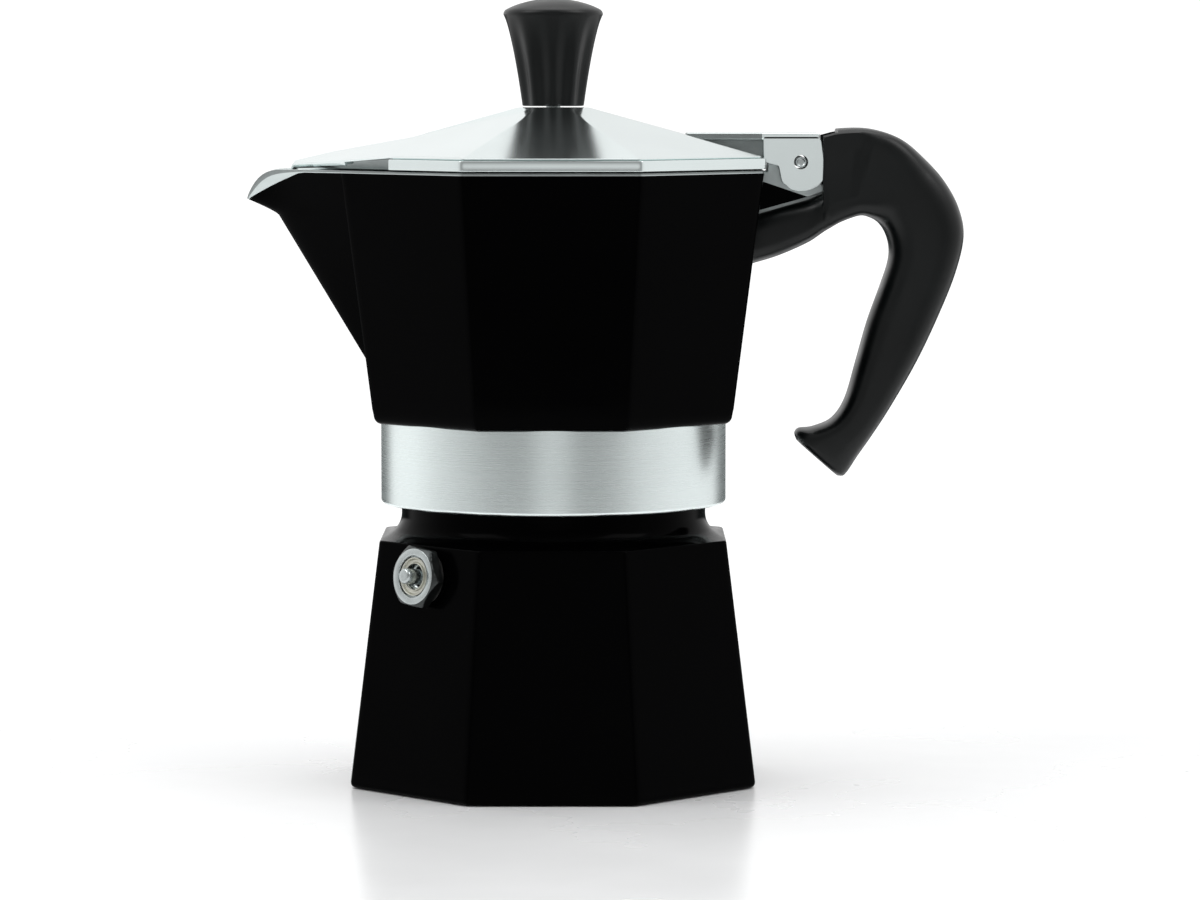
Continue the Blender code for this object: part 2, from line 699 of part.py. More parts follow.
def perforated(name, radius, low, high, rings, hole_r, pitch, mat):
    """A round sheet with rings of six, twelve and more holes about a centre hole."""
    plate = turned(name, [(0.0, high), (radius, high), (radius, low), (0.0, low)], mat)
    bm = bmesh.new()
    depth = high - low + 2 * MM
    centres = [(0.0, 0.0)]
    for ring in range(1, rings + 1):
        for i in range(6 * ring):
            angle = 2 * math.pi * i / (6 * ring)
            centres.append((ring * pitch * math.cos(angle), ring * pitch * math.sin(angle)))
    for x, y in centres:
        at = Matrix.Translation((x, y, (low + high) / 2))
        bmesh.ops.create_cone(bm, segments=6, cap_ends=True, radius1=hole_r, radius2=hole_r, depth=depth,
                              matrix=at)
    cut(plate, mesh_from(name + "_holes", bm, None))
    smooth(plate)
    return plate


def make_filter_plate():
    low = SEAT_Z + 0.05 * MM
    perforated("filter_plate", PLATE_R, low, low + 0.7 * MM, 2, 1.2 * MM, 9.0 * MM, SHEET)


def make_funnel():
    """Basket with a flange, a cone below it and the dip tube, in one thin turned skin."""
    skin = FUNNEL_SKIN
    inner = FUNNEL_R - skin
    profile = [
        (FUNNEL_FLANGE_R, FUNNEL_FLANGE_Z),
        (FUNNEL_FLANGE_R, FUNNEL_FLANGE_Z - skin),
        (FUNNEL_R, FUNNEL_FLANGE_Z - skin),
        (FUNNEL_R, FUNNEL_CUP_Z),
        (FUNNEL_R - 2.0 * MM, FUNNEL_CUP_Z - 1.2 * MM),
        (STEM_R, FUNNEL_CONE_Z),
        (STEM_R, STEM_END_Z),
        (STEM_R - skin, STEM_END_Z),
        (STEM_R - skin, FUNNEL_CONE_Z + 0.5 * MM),
        (FUNNEL_R - 4.0 * MM, FUNNEL_CUP_Z - 0.8 * MM),
        (inner, FUNNEL_CUP_Z - 0.2 * MM),
        (inner, FUNNEL_FLANGE_Z),
    ]
    smooth(turned("funnel", profile, SHEET))


def make_funnel_screen():
    low = FUNNEL_CUP_Z + 0.1 * MM
    radius = FUNNEL_R - FUNNEL_SKIN - GAP
    perforated("funnel_screen", radius, low, low + 0.7 * MM, 2, 1.2 * MM, 10.0 * MM, SHEET)


# ------------------------------------------------------------------ lid

def lid_slope(x):
    """Height of the lid's sloping face at a distance along X from the axis."""
    edge = LID_APOTHEM - LID_LEDGE
    return LID_SLOPE_Z + (LID_HUB_Z - LID_SLOPE_Z) * (edge - abs(x)) / (edge - LID_HUB_APOTHEM)


def lid_skin():
    """The pressed lid: hub, eight slopes, ledge and rim band, and the visor over the spout."""
    edge = LID_APOTHEM - LID_LEDGE
    bm = bmesh.new()
    hub = [bm.verts.new(p) for p in octagon(LID_HUB_APOTHEM, LID_HUB_Z)]
    slope = [bm.verts.new(p) for p in octagon(edge, LID_SLOPE_Z)]
    band = [bm.verts.new(p) for p in octagon(LID_APOTHEM, LID_BAND_TOP_Z)]
    foot = [bm.verts.new(p) for p in octagon(LID_APOTHEM, LID_BOTTOM_Z)]
    bm.faces.new(hub)
    # Corners 3 and 4 bound the side towards the spout; the sides 2-3 and 4-5 end at the visor.
    for i in (5, 6, 7, 0, 1):
        j = (i + 1) % FACETS
        bm.faces.new((hub[i], slope[i], slope[j], hub[j]))
        for upper, lower in ((slope, band), (band, foot)):
            bm.faces.new((upper[i], lower[i], lower[j], upper[j]))
    crest = bm.verts.new((VISOR_START_X, 0.0, lid_slope(VISOR_START_X)))
    ridge, nose, tab = [bm.verts.new((x, 0.0, z)) for x, z in (VISOR_RIDGE, VISOR_NOSE, VISOR_TAB)]
    for sign, near, far in ((1, 2, 3), (-1, 5, 4)):
        side_y = edge * (1 + math.tan(HALF_FACET)) + VISOR_SIDE_X
        crease = bm.verts.new((VISOR_SIDE_X, sign * side_y, LID_SLOPE_Z))
        side = (VISOR_CHEEK, VISOR_BROW, VISOR_LIP, VISOR_CHIN)
        cheek, brow, lip, chin = [bm.verts.new((x, sign * y, z)) for x, y, z in side]
        lower = []
        for apothem, z in ((LID_APOTHEM, LID_BAND_TOP_Z), (LID_APOTHEM, LID_BOTTOM_Z)):
            y = apothem * (1 + math.tan(HALF_FACET)) + VISOR_SIDE_X
            lower.append(bm.verts.new((VISOR_SIDE_X, sign * y, z)))
        faces = [
            (hub[near], slope[near], crease, crest),
            (hub[near], crest, hub[far]),
            (crest, crease, cheek, ridge),
            (ridge, cheek, brow),
            (ridge, brow, nose),
            (nose, brow, lip),
            (nose, lip, chin, tab),
        ]
        column = [crease, *lower]
        rim = [slope[near], band[near], foot[near]]
        for k in range(2):
            faces.append((rim[k], rim[k + 1], column[k + 1], column[k]))
        for face in faces:
            bm.faces.new(face if sign > 0 else tuple(reversed(face)))
    bm.faces.new((hub[3], crest, hub[4]))
    bmesh.ops.recalc_face_normals(bm, faces=bm.faces)
    return bm


def lid_bracket():
    """Top plate, web and two ears that reach down either side of the hinge lug."""
    top = BRACKET_TOP_Z
    under = top - BRACKET_PLATE
    plate = box("lid_bracket_plate", (BRACKET_TIP_X, -EAR_OUTER, under), (BRACKET_END_X, EAR_OUTER, top))
    start = BRACKET_TIP_X - 2 * MM
    end = LID_APOTHEM - 0.9 * MM
    joint_z = under + 0.5 * MM
    web_outline = [(start, lid_slope(start) - 0.7 * MM), (end - 0.8 * MM, LID_SLOPE_Z - 0.55 * MM),
                   (end, LID_SLOPE_Z - 0.25 * MM), (end, joint_z), (BRACKET_TIP_X + 0.4 * MM, joint_z)]
    web = plate_xz("lid_bracket_web", web_outline, -WEB_HALF, WEB_HALF)
    ear = [(PIN_X - 8.0 * MM, EAR_TOP_Z), (PIN_X - 7.9 * MM, PIN_Z), (PIN_X - 4.8 * MM, PIN_Z - 0.7 * MM),
           (PIN_X - 4.1 * MM, PIN_Z - 4.1 * MM)]
    ear += arc((PIN_X, PIN_Z), EAR_FOOT_R, 250, 320, 4)
    ear += [(PIN_X + 4.9 * MM, PIN_Z + 0.3 * MM), (PIN_X + 4.3 * MM, EAR_TOP_Z - 1 * MM),
            (PIN_X + 3.7 * MM, EAR_TOP_Z)]
    near = plate_xz("lid_ear_near", ear, -EAR_OUTER, -EAR_INNER)
    far = plate_xz("lid_ear_far", ear, EAR_INNER, EAR_OUTER)
    return plate, web, near, far


def make_lid():
    lid = mesh_from("lid", lid_skin(), SHEET)
    wall = lid.modifiers.new("wall", "SOLIDIFY")
    wall.thickness = LID_WALL
    wall.offset = -1.0
    wall.use_even_offset = True
    for piece in lid_bracket():
        join(lid, piece)
    below = LID_HUB_Z - 5 * MM
    cut(lid, cylinder("knob_screw_hole", KNOB_SCREW_R + GAP, (0, 0, below), (0, 0, LID_HUB_Z + 2 * MM)))
    ends = 2 * EAR_OUTER
    cut(lid, cylinder("ear_holes", PIN_HOLE_R, (PIN_X, -ends, PIN_Z), (PIN_X, ends, PIN_Z), steps=20))
    smooth(lid, 20)
    return lid


def make_hinge_pin():
    end = EAR_OUTER - 0.05 * MM
    smooth(cylinder("hinge_pin", PIN_R, (PIN_X, -end, PIN_Z), (PIN_X, end, PIN_Z), STEEL, steps=20))


# ------------------------------------------------------------------ knob

def knob_radius(z):
    """Radius of the knob's flank: nearly straight, a little hollow, widest at the rim."""
    share = (z - KNOB_Z) / (KNOB_TOP_Z - KNOB_DOME - KNOB_Z)
    return KNOB_WAIST_R + (KNOB_RIM_R - KNOB_WAIST_R) * (0.78 * share + 0.22 * share ** 3)


def make_knob():
    rim_z = KNOB_TOP_Z - KNOB_DOME
    profile = [(0.0, KNOB_TOP_Z), (3.5 * MM, KNOB_TOP_Z - 0.3 * MM), (7.0 * MM, KNOB_TOP_Z - 1.1 * MM),
               (9.5 * MM, KNOB_TOP_Z - 2.1 * MM), (10.4 * MM, KNOB_TOP_Z - 2.8 * MM)]
    levels = 8
    for i in range(levels + 1):
        z = rim_z + (KNOB_Z - rim_z) * i / levels
        profile.append((knob_radius(z), z))
    hole_r = KNOB_SCREW_R + GAP
    profile += [(hole_r, KNOB_Z), (hole_r, KNOB_Z + KNOB_HOLE_DEPTH), (0.0, KNOB_Z + KNOB_HOLE_DEPTH)]
    blank = turned("knob_blank", profile, None, steps=KNOB_FLUTES * 4)
    bpy.context.view_layer.update()
    evaluated = blank.evaluated_get(bpy.context.evaluated_depsgraph_get())
    mesh = bpy.data.meshes.new_from_object(evaluated)
    bpy.data.objects.remove(blank, do_unlink=True)
    for vert in mesh.vertices:
        x, y, z = vert.co
        radius = math.hypot(x, y)
        share = (z - KNOB_Z) / (rim_z - KNOB_Z)
        if radius > 4 * MM and 0.0 <= share <= 0.99:
            wave = 0.5 + 0.5 * math.cos(KNOB_FLUTES * math.atan2(y, x))
            depth = KNOB_FLUTE_DEPTH * math.sin(math.pi * min(1.0, 0.18 + share * 0.82)) ** 0.7 * wave
            vert.co.x *= 1 - depth / radius
            vert.co.y *= 1 - depth / radius
    smooth(place("knob", mesh, PHENOLIC), 40)


def make_knob_screw():
    under = LID_HUB_Z - LID_WALL - GAP
    head_top = under - SCREW_WASHER - GAP
    head = head_top - 1.9 * MM
    tip = KNOB_Z + KNOB_HOLE_DEPTH - 2 * MM
    profile = [(0.0, tip), (KNOB_SCREW_R, tip), (KNOB_SCREW_R, head_top),
               (3.0 * MM, head_top), (3.0 * MM, head + 0.8 * MM), (2.0 * MM, head), (0.0, head)]
    screw = turned("knob_screw", profile, STEEL, 24)
    slot = box("knob_screw_slot", (-4 * MM, -0.4 * MM, head - 1 * MM), (4 * MM, 0.4 * MM, head + 0.7 * MM))
    cut(screw, slot)
    smooth(screw)
    ring = [(3.8 * MM, under), (3.8 * MM, under - SCREW_WASHER), (KNOB_SCREW_R + GAP, under - SCREW_WASHER),
            (KNOB_SCREW_R + GAP, under)]
    smooth(turned("knob_washer", ring, STEEL, 24))


# ------------------------------------------------------------------ handle

def handle_sections():
    """Outer point, inner point and half width of each section, from the body to the toe, in mm."""
    return [
        ((43.1, 119.9), (41.85, 109.2), 6.6),
        ((49.0, 121.6), (47.4, 110.9), 6.9),
        ((54.0, 123.0), (53.5, 113.6), 7.6),
        ((57.4, 124.2), (57.1, 116.0), 8.6),
        ((57.6, 136.6), (57.9, 116.6), 9.0),
        ((60.5, 137.7), (60.6, 118.1), 9.0),
        ((67.0, 137.6), (64.4, 119.4), 9.0),
        ((73.3, 135.4), (66.6, 119.0), 8.9),
        ((78.6, 131.0), (68.6, 117.8), 8.7),
        ((82.6, 126.4), (70.1, 115.6), 8.5),
        ((85.5, 121.0), (70.9, 112.6), 8.3),
        ((86.6, 115.0), (70.6, 109.2), 8.2),
        ((84.9, 107.3), (68.8, 103.8), 8.1),
        ((81.4, 98.4), (66.3, 96.8), 8.0),
        ((76.8, 88.6), (63.9, 88.2), 7.8),
        ((71.2, 78.8), (61.7, 80.6), 7.5),
        ((67.2, 72.6), (58.9, 76.4), 7.2),
        ((64.3, 68.4), (54.8, 74.6), 7.0),
        ((62.4, 65.4), (51.8, 74.2), 6.8),
        ((60.9, 63.7), (50.7, 72.6), 6.4),
    ]


def handle_ring(outer, inner, half):
    """A rounded-square section between the outer and the inner point."""
    rise = (outer[1] - HANDLE_SHOULDER_FROM) / (HANDLE_SHOULDER_TO - HANDLE_SHOULDER_FROM)
    share = min(1.0, max(0.0, rise))
    square = HANDLE_SQUARENESS + (HANDLE_SHOULDER_SQUARENESS - HANDLE_SQUARENESS) * share
    middle = (Vector(outer) + Vector(inner)) * MM / 2
    reach = (Vector(outer) - Vector(inner)) * MM / 2
    ring = []
    for i in range(HANDLE_SECTION_STEPS):
        angle = 2 * math.pi * i / HANDLE_SECTION_STEPS
        along = math.copysign(abs(math.cos(angle)) ** square, math.cos(angle))
        across = math.copysign(abs(math.sin(angle)) ** square, math.sin(angle))
        point = middle + reach * along
        ring.append((point.x, half * MM * across, point.y))
    return ring


def make_handle():
    rings = [handle_ring(*section) for section in handle_sections()]
    handle = loft("handle", rings, PHENOLIC)
    bm = bmesh.new()
    bm.from_mesh(handle.data)
    bmesh.ops.recalc_face_normals(bm, faces=bm.faces)
    bm.to_mesh(handle.data)
    bm.free()
    width = EAR_OUTER + GAP
    pocket = [(PIN_X - 2 * MM, 124.6 * MM), *arc((PIN_X, PIN_Z), SWING_R, -47, 20, 6),
              (60.1 * MM, 141.0 * MM), (PIN_X - 2 * MM, 141.0 * MM)]
    cut(handle, plate_xz("lid_swing_pocket", pocket, -width, width))
    slot = [(38.0 * MM, 111.2 * MM), (48.8 * MM, 116.75 * MM), (55.0 * MM, 116.75 * MM),
            (58.3 * MM, 119.8 * MM), (66.4 * MM, 121.2 * MM), (66.4 * MM, 125.5 * MM),
            (58.0 * MM, 125.5 * MM), (38.0 * MM, 125.5 * MM)]
    cut(handle, plate_xz("tang_slot", slot, -TANG_HALF - GAP, TANG_HALF + GAP))
    lug_room = [(40.0 * MM, 119.4 * MM), (54.7 * MM, 123.35 * MM), (57.5 * MM, 124.3 * MM),
                (57.5 * MM, 127.0 * MM), (40.0 * MM, 127.0 * MM)]
    cut(handle, plate_xz("lug_room", lug_room, -LUG_HALF - GAP, LUG_HALF + GAP))
    below = (HANDLE_SCREW_X, 0, 104 * MM)
    hole_r = HANDLE_SCREW_R + GAP + 0.1 * MM
    cut(handle, cylinder("handle_screw_hole", hole_r, below, (HANDLE_SCREW_X, 0, 119 * MM), steps=16))
    sink_end = (HANDLE_SCREW_X, 0, HANDLE_SCREW_Z + GAP)
    cut(handle, cylinder("handle_screw_sink", HANDLE_SCREW_HEAD_R + 0.5 * MM, below, sink_end, steps=20))
    smooth(handle, 40)
    return handle


def make_handle_screw():
    end = HANDLE_SCREW_Z + 7.2 * MM
    head = HANDLE_SCREW_Z
    rim = HANDLE_SCREW_HEAD_R
    profile = [(0.0, end), (HANDLE_SCREW_R, end), (HANDLE_SCREW_R, head), (rim, head), (rim, head - 0.8 * MM),
               (rim - 0.6 * MM, head - 1.3 * MM), (0.0, head - 1.3 * MM)]
    screw = turned("handle_screw", profile, STEEL, 20)
    screw.location.x = HANDLE_SCREW_X
    smooth(screw)


def main():
    make_boiler()
    make_valve_body()
    make_valve_gasket()
    make_valve_retainer()
    make_valve_plunger()
    make_valve_spring()
    make_collector()
    make_gasket()
    make_filter_plate()
    make_funnel()
    make_funnel_screen()
    make_lid()
    make_hinge_pin()
    make_knob()
    make_knob_screw()
    make_handle()
    make_handle_screw()


main()
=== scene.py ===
import json
import math

import bmesh
import bpy
import numpy as np
from bpy.props import FloatProperty, FloatVectorProperty, IntProperty, PointerProperty
from mathutils import Matrix, Vector


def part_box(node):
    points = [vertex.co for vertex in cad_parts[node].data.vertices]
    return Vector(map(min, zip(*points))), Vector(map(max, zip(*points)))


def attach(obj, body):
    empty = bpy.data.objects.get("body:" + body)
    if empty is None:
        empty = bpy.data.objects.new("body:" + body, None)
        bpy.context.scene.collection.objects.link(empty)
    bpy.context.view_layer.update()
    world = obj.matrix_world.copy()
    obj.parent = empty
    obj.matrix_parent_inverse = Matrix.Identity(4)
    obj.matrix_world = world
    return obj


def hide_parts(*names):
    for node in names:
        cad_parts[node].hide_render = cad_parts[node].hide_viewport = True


bl_info = {
    "name": "Moka Pot Looks",
    "version": (1, 0, 0),
    "blender": (4, 5, 0),
    "location": "View3D > Sidebar > Moka Pot",
    "description": "Builds the pieces, the finishes and the studio of an eight-sided stovetop moka pot",
    "category": "Object",
}

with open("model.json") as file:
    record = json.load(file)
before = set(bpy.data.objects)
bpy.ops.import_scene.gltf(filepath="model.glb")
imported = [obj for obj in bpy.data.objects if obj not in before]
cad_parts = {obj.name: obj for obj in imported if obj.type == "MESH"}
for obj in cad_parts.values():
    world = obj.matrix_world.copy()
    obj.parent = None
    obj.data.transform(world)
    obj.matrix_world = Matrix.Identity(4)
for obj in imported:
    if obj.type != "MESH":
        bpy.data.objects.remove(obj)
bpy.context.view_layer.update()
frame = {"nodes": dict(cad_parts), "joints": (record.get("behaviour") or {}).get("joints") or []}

MM = 0.001
FACETS = 8
HALF_FACET = math.pi / FACETS
SMOOTH_ANGLE = 32.0
CUT_SMOOTH_ANGLE = 35.0

# Boiler and the thread on its neck
BASE_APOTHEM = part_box("boiler")[1].x
NECK_TOP_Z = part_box("boiler")[1].z
SHOULDER_APOTHEM = 36.2 * MM
SHOULDER_Z = 52.5 * MM
BOILER_WALL = 3.0 * MM
NECK_R = 32.2 * MM
NECK_BORE_R = 29.7 * MM
SHOULDER_COVE = 4.6 * MM
SHOULDER_EDGE_R = 0.5 * MM
BOILER_FOOT_R = 1.2 * MM
PAINT_UNDER_COLLAR = 0.8 * MM
PITCH = 3.0 * MM
THREAD_Z = 61.0 * MM
THREAD_TURNS = 2.75
MALE_CREST_R = 33.55 * MM
FEMALE_ROOT_R = 33.95 * MM
FEMALE_CREST_R = 32.6 * MM
RIDGE_FOOT = 1.55 * MM
RIDGE_CREST = 0.75 * MM

# Collector: collar, painted body, spout and riser
COLLAR_R = 36.5 * MM
COLLAR_BOTTOM_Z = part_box("collector")[0].z
BODY_BOTTOM_Z = 76.2 * MM
BODY_FLARE_Z = 79.5 * MM
BODY_TOP_Z = 129.2 * MM
BODY_FLARE_APOTHEM = 37.8 * MM
BODY_TOP_APOTHEM = 44.0 * MM
FLOOR_Z = 78.0 * MM
SEAT_Z = 75.6 * MM
GASKET_POCKET_R = 33.0 * MM
PLATE_POCKET_R = 27.0 * MM
RISER_TOP_Z = 121.0 * MM
RISER_R = 5.6 * MM
RISER_BORE_R = 3.4 * MM
SPOUT_FOOT_Z = 87.4 * MM
LIP_ROOT_Z = 119.5 * MM
LIP_ROOT_X = -58.0 * MM
LIP_TIP_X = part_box("collector")[0].x
LIP_DROP = 6.3 * MM
LIP_RUN = 10.0 * MM
LIP_CURVE = 3.8
PAINT_RUN = 14.0 * MM
RIDGE_SOFTNESS = 2.2 * MM
NOSE_START_HALF = 1.0 * MM
# Rows of faces along the outer edge of the rim, just under its top, drawn in dark aluminium: painted shade
# along the rim and the lip's edge
RIM_PAINTED_SHADE_ROWS = (3, 7)
VENT_R = 1.7 * MM
VENT_DROP = 6 * MM

# Lid
LID_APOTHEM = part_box("lid")[1].y
LID_BOTTOM_Z = 129.5 * MM
LID_BAND_TOP_Z = 131.7 * MM
LID_SLOPE_APOTHEM = LID_APOTHEM - 0.7 * MM
LID_SLOPE_Z = 132.05 * MM
LID_HUB_APOTHEM = 7.5 * MM
LID_HUB_Z = 142.1 * MM
LID_SHEET = 1.2 * MM
LID_TUCK = 0.9 * MM
LID_CORNER_R = 0.9 * MM
LID_BAND_DEPTH = 1.6 * MM
LID_SCREW_HOLE_R = 1.8 * MM
VISOR_START_X = -29.6 * MM
VISOR_SIDE_X = -33.5 * MM
VISOR_RIDGE = (-46.5 * MM, 132.9 * MM)
VISOR_NOSE = (-54.6 * MM, 131.0 * MM)
VISOR_TAB = (-55.8 * MM, 128.6 * MM)
VISOR_CHEEK = (-43.4 * MM, 18.3 * MM, 131.3 * MM)
VISOR_BROW = (-50.2 * MM, 8.6 * MM, 130.6 * MM)
VISOR_LIP = (-54.9 * MM, 3.2 * MM, 130.3 * MM)
VISOR_CHIN = (-55.6 * MM, 2.8 * MM, 128.6 * MM)

# Hinge
LID_HINGE = next(joint for joint in frame["joints"] if joint["name"] == "lid_hinge")
PIN_X, _, PIN_Z = LID_HINGE["pos_m"]
PIN_R = 1.15 * MM
PIN_HOLE_R = 1.5 * MM
LUG_HALF = 5.0 * MM
LUG_PAINT_POINT = Vector((44.4, 0.0, 126.5)) * MM
LUG_PAINT_UP = Vector((1.8, 0.0, 5.3)).normalized()
TANG_HALF = 3.0 * MM
EYE_R = 4.3 * MM
EAR_INNER = 5.3 * MM
EAR_OUTER = 7.3 * MM
BRACKET_TOP_Z = 136.8 * MM
BRACKET_PLATE = 1.4 * MM
BRACKET_TIP_X = 28.0 * MM
BRACKET_END_X = 55.9 * MM
# Plane where the painted shade on the sides and underside of the bracket's plate stops, towards the axis
BRACKET_FOLD = Vector((43.8, 0.0, 136.0)) * MM
WEB_HALF = 4.7 * MM
SWING_R = 7.8 * MM
GAP = 0.3 * MM

# Knob, handle and valve
KNOB_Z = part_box("knob")[0].z
KNOB_TOP_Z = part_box("knob")[1].z
KNOB_DOME = 3.4 * MM
KNOB_RIM_R = 10.5 * MM
KNOB_WAIST_R = 6.7 * MM
KNOB_FLUTES = 10
KNOB_DOME_PROFILE = ((10.47, 3.1), (10.36, 2.8), (10.1, 2.45), (9.5, 2.1), (8.4, 1.6), (7.0, 1.1),
                     (5.2, 0.62), (3.5, 0.3), (1.6, 0.07))
HANDLE_SQUARENESS = 0.62
HANDLE_SHOULDER_SQUARENESS = 0.32
HANDLE_SHOULDER_FROM = 130.0
HANDLE_SHOULDER_TO = 136.6
HANDLE_TOE = (1.0, 0.985, 0.94, 0.86)
HANDLE_SCREW_X = 52.5 * MM
HANDLE_SCREW_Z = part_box("handle_screw")[1].z - 7.2 * MM
HANDLE_SCREW_HOLE_R = 1.6 * MM
HANDLE_SCREW_SINK_R = 2.9 * MM
HANDLE_HALF = 9 * MM
SCOOP_CENTRE = (54.8 * MM, 135.0 * MM)
SCOOP_R = 11.6 * MM
SCOOP_EDGE = 1.1 * MM
VALVE_Z = 45.3 * MM
HEX_FLATS = 12.0 * MM
HEX_EDGE = 0.35 * MM
HEX_TURN = math.radians(-24.0)
HEX_LOW = 1.2 * MM
HEX_FACE = 3.8 * MM
VALVE_FACE_R = 4.3 * MM
VALVE_BORE_R = 3.5 * MM
VALVE_SHANK_R = 4.8 * MM
VALVE_INNER_END = -8.5 * MM
VALVE_PIN_R = 1.6 * MM
VALVE_PIN_OUT = 2.6 * MM
VALVE_PIN_CROWN = 0.6 * MM
# Rows of faces over the valve's chamfer, hexagon flanks and underside that are drawn nearly black: painted
# shade on the hexagon's flanks
VALVE_PAINTED_SHADE_ROWS = range(6, 14)
RETAINER_PROFILE = ((4.0, 0.0), (3.75, 0.0), (3.5, 0.55), (3.05, 0.55), (2.9, 0.1), (2.7, 0.1), (2.7, 0.75),
                    (4.0, 0.75))

# Camera: level with the lid's upper slopes, a metre in front and a little to the handle's side
CAMERA_PLACE = (9.86 * MM, -1000.0 * MM, 151.2 * MM)
CAMERA_TARGET = (9.86 * MM, 0.0, 69.6 * MM)
CAMERA_LENS = 141.9

# Brightness of the room by direction along Y, on the spout's side and on the handle's side
ROOM_LEFT = ((-1.0, 0.7), (-0.985, 0.6), (-0.955, 0.33), (-0.8, 0.38), (-0.5, 0.57), (-0.1, 0.76),
             (0.25, 1.0), (0.6, 1.0), (1.0, 0.98))
ROOM_RIGHT = ((-1.0, 0.7), (-0.985, 0.6), (-0.955, 0.3), (-0.8, 0.36), (-0.5, 0.68), (-0.1, 0.84),
              (0.25, 0.92), (0.6, 0.95), (1.0, 0.86))
FLAG_COLOUR = (0.05, 0.06, 0.06)
BACKDROP_STRENGTH = 1.15

# Place and size of the softboxes, in metres, and which of the two powers each one has
SOFTBOXES = {
    "left_softbox": ((-0.85, -0.4, 1.05), (0.7, 0.7), "side_power"),
    "right_softbox": ((0.85, -0.4, 1.05), (0.7, 0.7), "side_power"),
    "overhead_softbox": ((0.0, 0.25, 1.3), (1.2, 0.8), "top_power"),
}
FLOOR_DROP = 0.2 * MM

# Finishes of the parts inside the pot, whose CAD shapes are kept
INNER_FINISHES = {
    "funnel": "Pressed aluminium",
    "funnel_screen": "Pressed aluminium",
    "filter_plate": "Pressed aluminium",
    "gasket": "Sealing rubber",
    "valve_gasket": "Dark rubber",
    "valve_spring": "Plated steel",
    "knob_screw": "Plated steel",
    "knob_washer": "Plated steel",
    "handle_screw": "Plated steel",
}


def colour(name, description, value):
    return FloatVectorProperty(name=name, description=description, default=value, size=3, min=0.0, max=1.0,
                               subtype="COLOR")


def share(name, description, value):
    return FloatProperty(name=name, description=description, default=value, min=0.0, max=1.0,
                         subtype="FACTOR")


def length(name, description, value):
    return FloatProperty(name=name, description=description, default=value, min=0.0, unit="LENGTH",
                         subtype="DISTANCE", precision=5)


class MokaSizes(bpy.types.PropertyGroup):
    corner_round: length("Corner rounding", "Radius along the upright edges of boiler and body", 1.5 * MM)
    body_wall: length("Body wall", "Thickness of the cast wall of the collector", 2.2 * MM)
    rim_round: length("Rim rounding", "Radius along the machined rim of the body", 0.35 * MM)
    bare_lip: length("Bare lip", "Extra width of the unpainted strip along the pouring lip", 0.3 * MM)
    lid_groove: length("Lid groove", "Height of the groove between the lid's band and its slopes", 0.3 * MM)
    lid_round: length("Lid rounding", "Radius along the creases of the pressed lid", 0.55 * MM)
    flute_depth: length("Flute depth", "Depth of the flutes on the knob", 0.75 * MM)
    scoop_depth: length("Scoop depth", "Depth of the hollow that the lid's ears swing over", 0.9 * MM)
    round_steps: IntProperty(name="Round steps", description="Segments of a full turn", default=128, min=24)


class MokaColours(bpy.types.PropertyGroup):
    paint: colour("Paint", "Gloss black stove paint", (0.0006, 0.0006, 0.0007))
    aluminium: colour("Aluminium", "Bare aluminium", (0.80, 0.87, 0.865))
    phenolic: colour("Phenolic", "Knob and handle resin", (0.0022, 0.0032, 0.0033))
    steel: colour("Plated steel", "Nickel plate on the valve, pins and screws", (0.52, 0.56, 0.56))
    brass: colour("Brass", "Retaining ring of the valve", (0.56, 0.56, 0.50))
    rubber: colour("Rubber", "Gaskets", (0.72, 0.71, 0.66))
    paint_roughness: share("Paint roughness", "Mean roughness of the paint", 0.14)
    lid_roughness: share("Lid roughness", "Mean roughness of the polished lid", 0.17)
    collar_roughness: share("Collar roughness", "Mean roughness of the turned collar", 0.27)
    phenolic_roughness: share("Phenolic roughness", "Mean roughness of knob and handle", 0.33)
    wear: share("Edge wear", "How far paint and resin have rubbed away along edges", 0.25)


class MokaStudio(bpy.types.PropertyGroup):
    floor: colour("Floor", "Floor under the pot", (0.93, 0.935, 0.94))
    backdrop: colour("Backdrop", "What the camera sees behind the pot", (1.0, 1.0, 1.0))
    floor_radius: length("Floor radius", "Radius of the round floor", 260.0 * MM)
    side_power: FloatProperty(name="Side light", description="Power of each side softbox", default=4.0,
                              unit="POWER")
    top_power: FloatProperty(name="Top light", description="Power of the overhead softbox", default=5.0,
                             unit="POWER")


# ------------------------------------------------------------------ meshes

def mm(*points):
    """Points given in millimetres."""
    return [tuple(value * MM for value in point) for point in points]
def polygon_radius(angles, apothem, fillet, sides=FACETS):
    """Distance from the axis to a regular outline with rounded corners, at each angle; a flat faces +X."""
    half = math.pi / sides
    off = np.mod(angles, 2 * half) - half
    centre = (apothem - fillet) / math.cos(half)
    limit = math.atan2(fillet * math.sin(half), centre + fillet * math.cos(half))
    flat = apothem / np.cos(half - np.abs(off))
    inside = np.maximum(fillet ** 2 - (centre * np.sin(off)) ** 2, 0.0)
    return np.where(np.abs(off) > limit, flat, centre * np.cos(off) + np.sqrt(inside))


def corner_angles(sides=FACETS, count=10):
    """Angles of a full turn that crowd together at the corners of a regular outline."""
    half = math.pi / sides
    steps = np.arange(-count, count) / count
    corners = half * (2 * np.arange(sides) + 1)
    return (corners[:, None] + half * np.sign(steps) * steps ** 2).ravel()


def ring(angles, radii, z):
    return np.column_stack([radii * np.cos(angles), radii * np.sin(angles), np.full(len(angles), z)])


def facet_ring(angles, apothem, fillet, z, sides=FACETS):
    return ring(angles, polygon_radius(angles, apothem, fillet, sides), z)


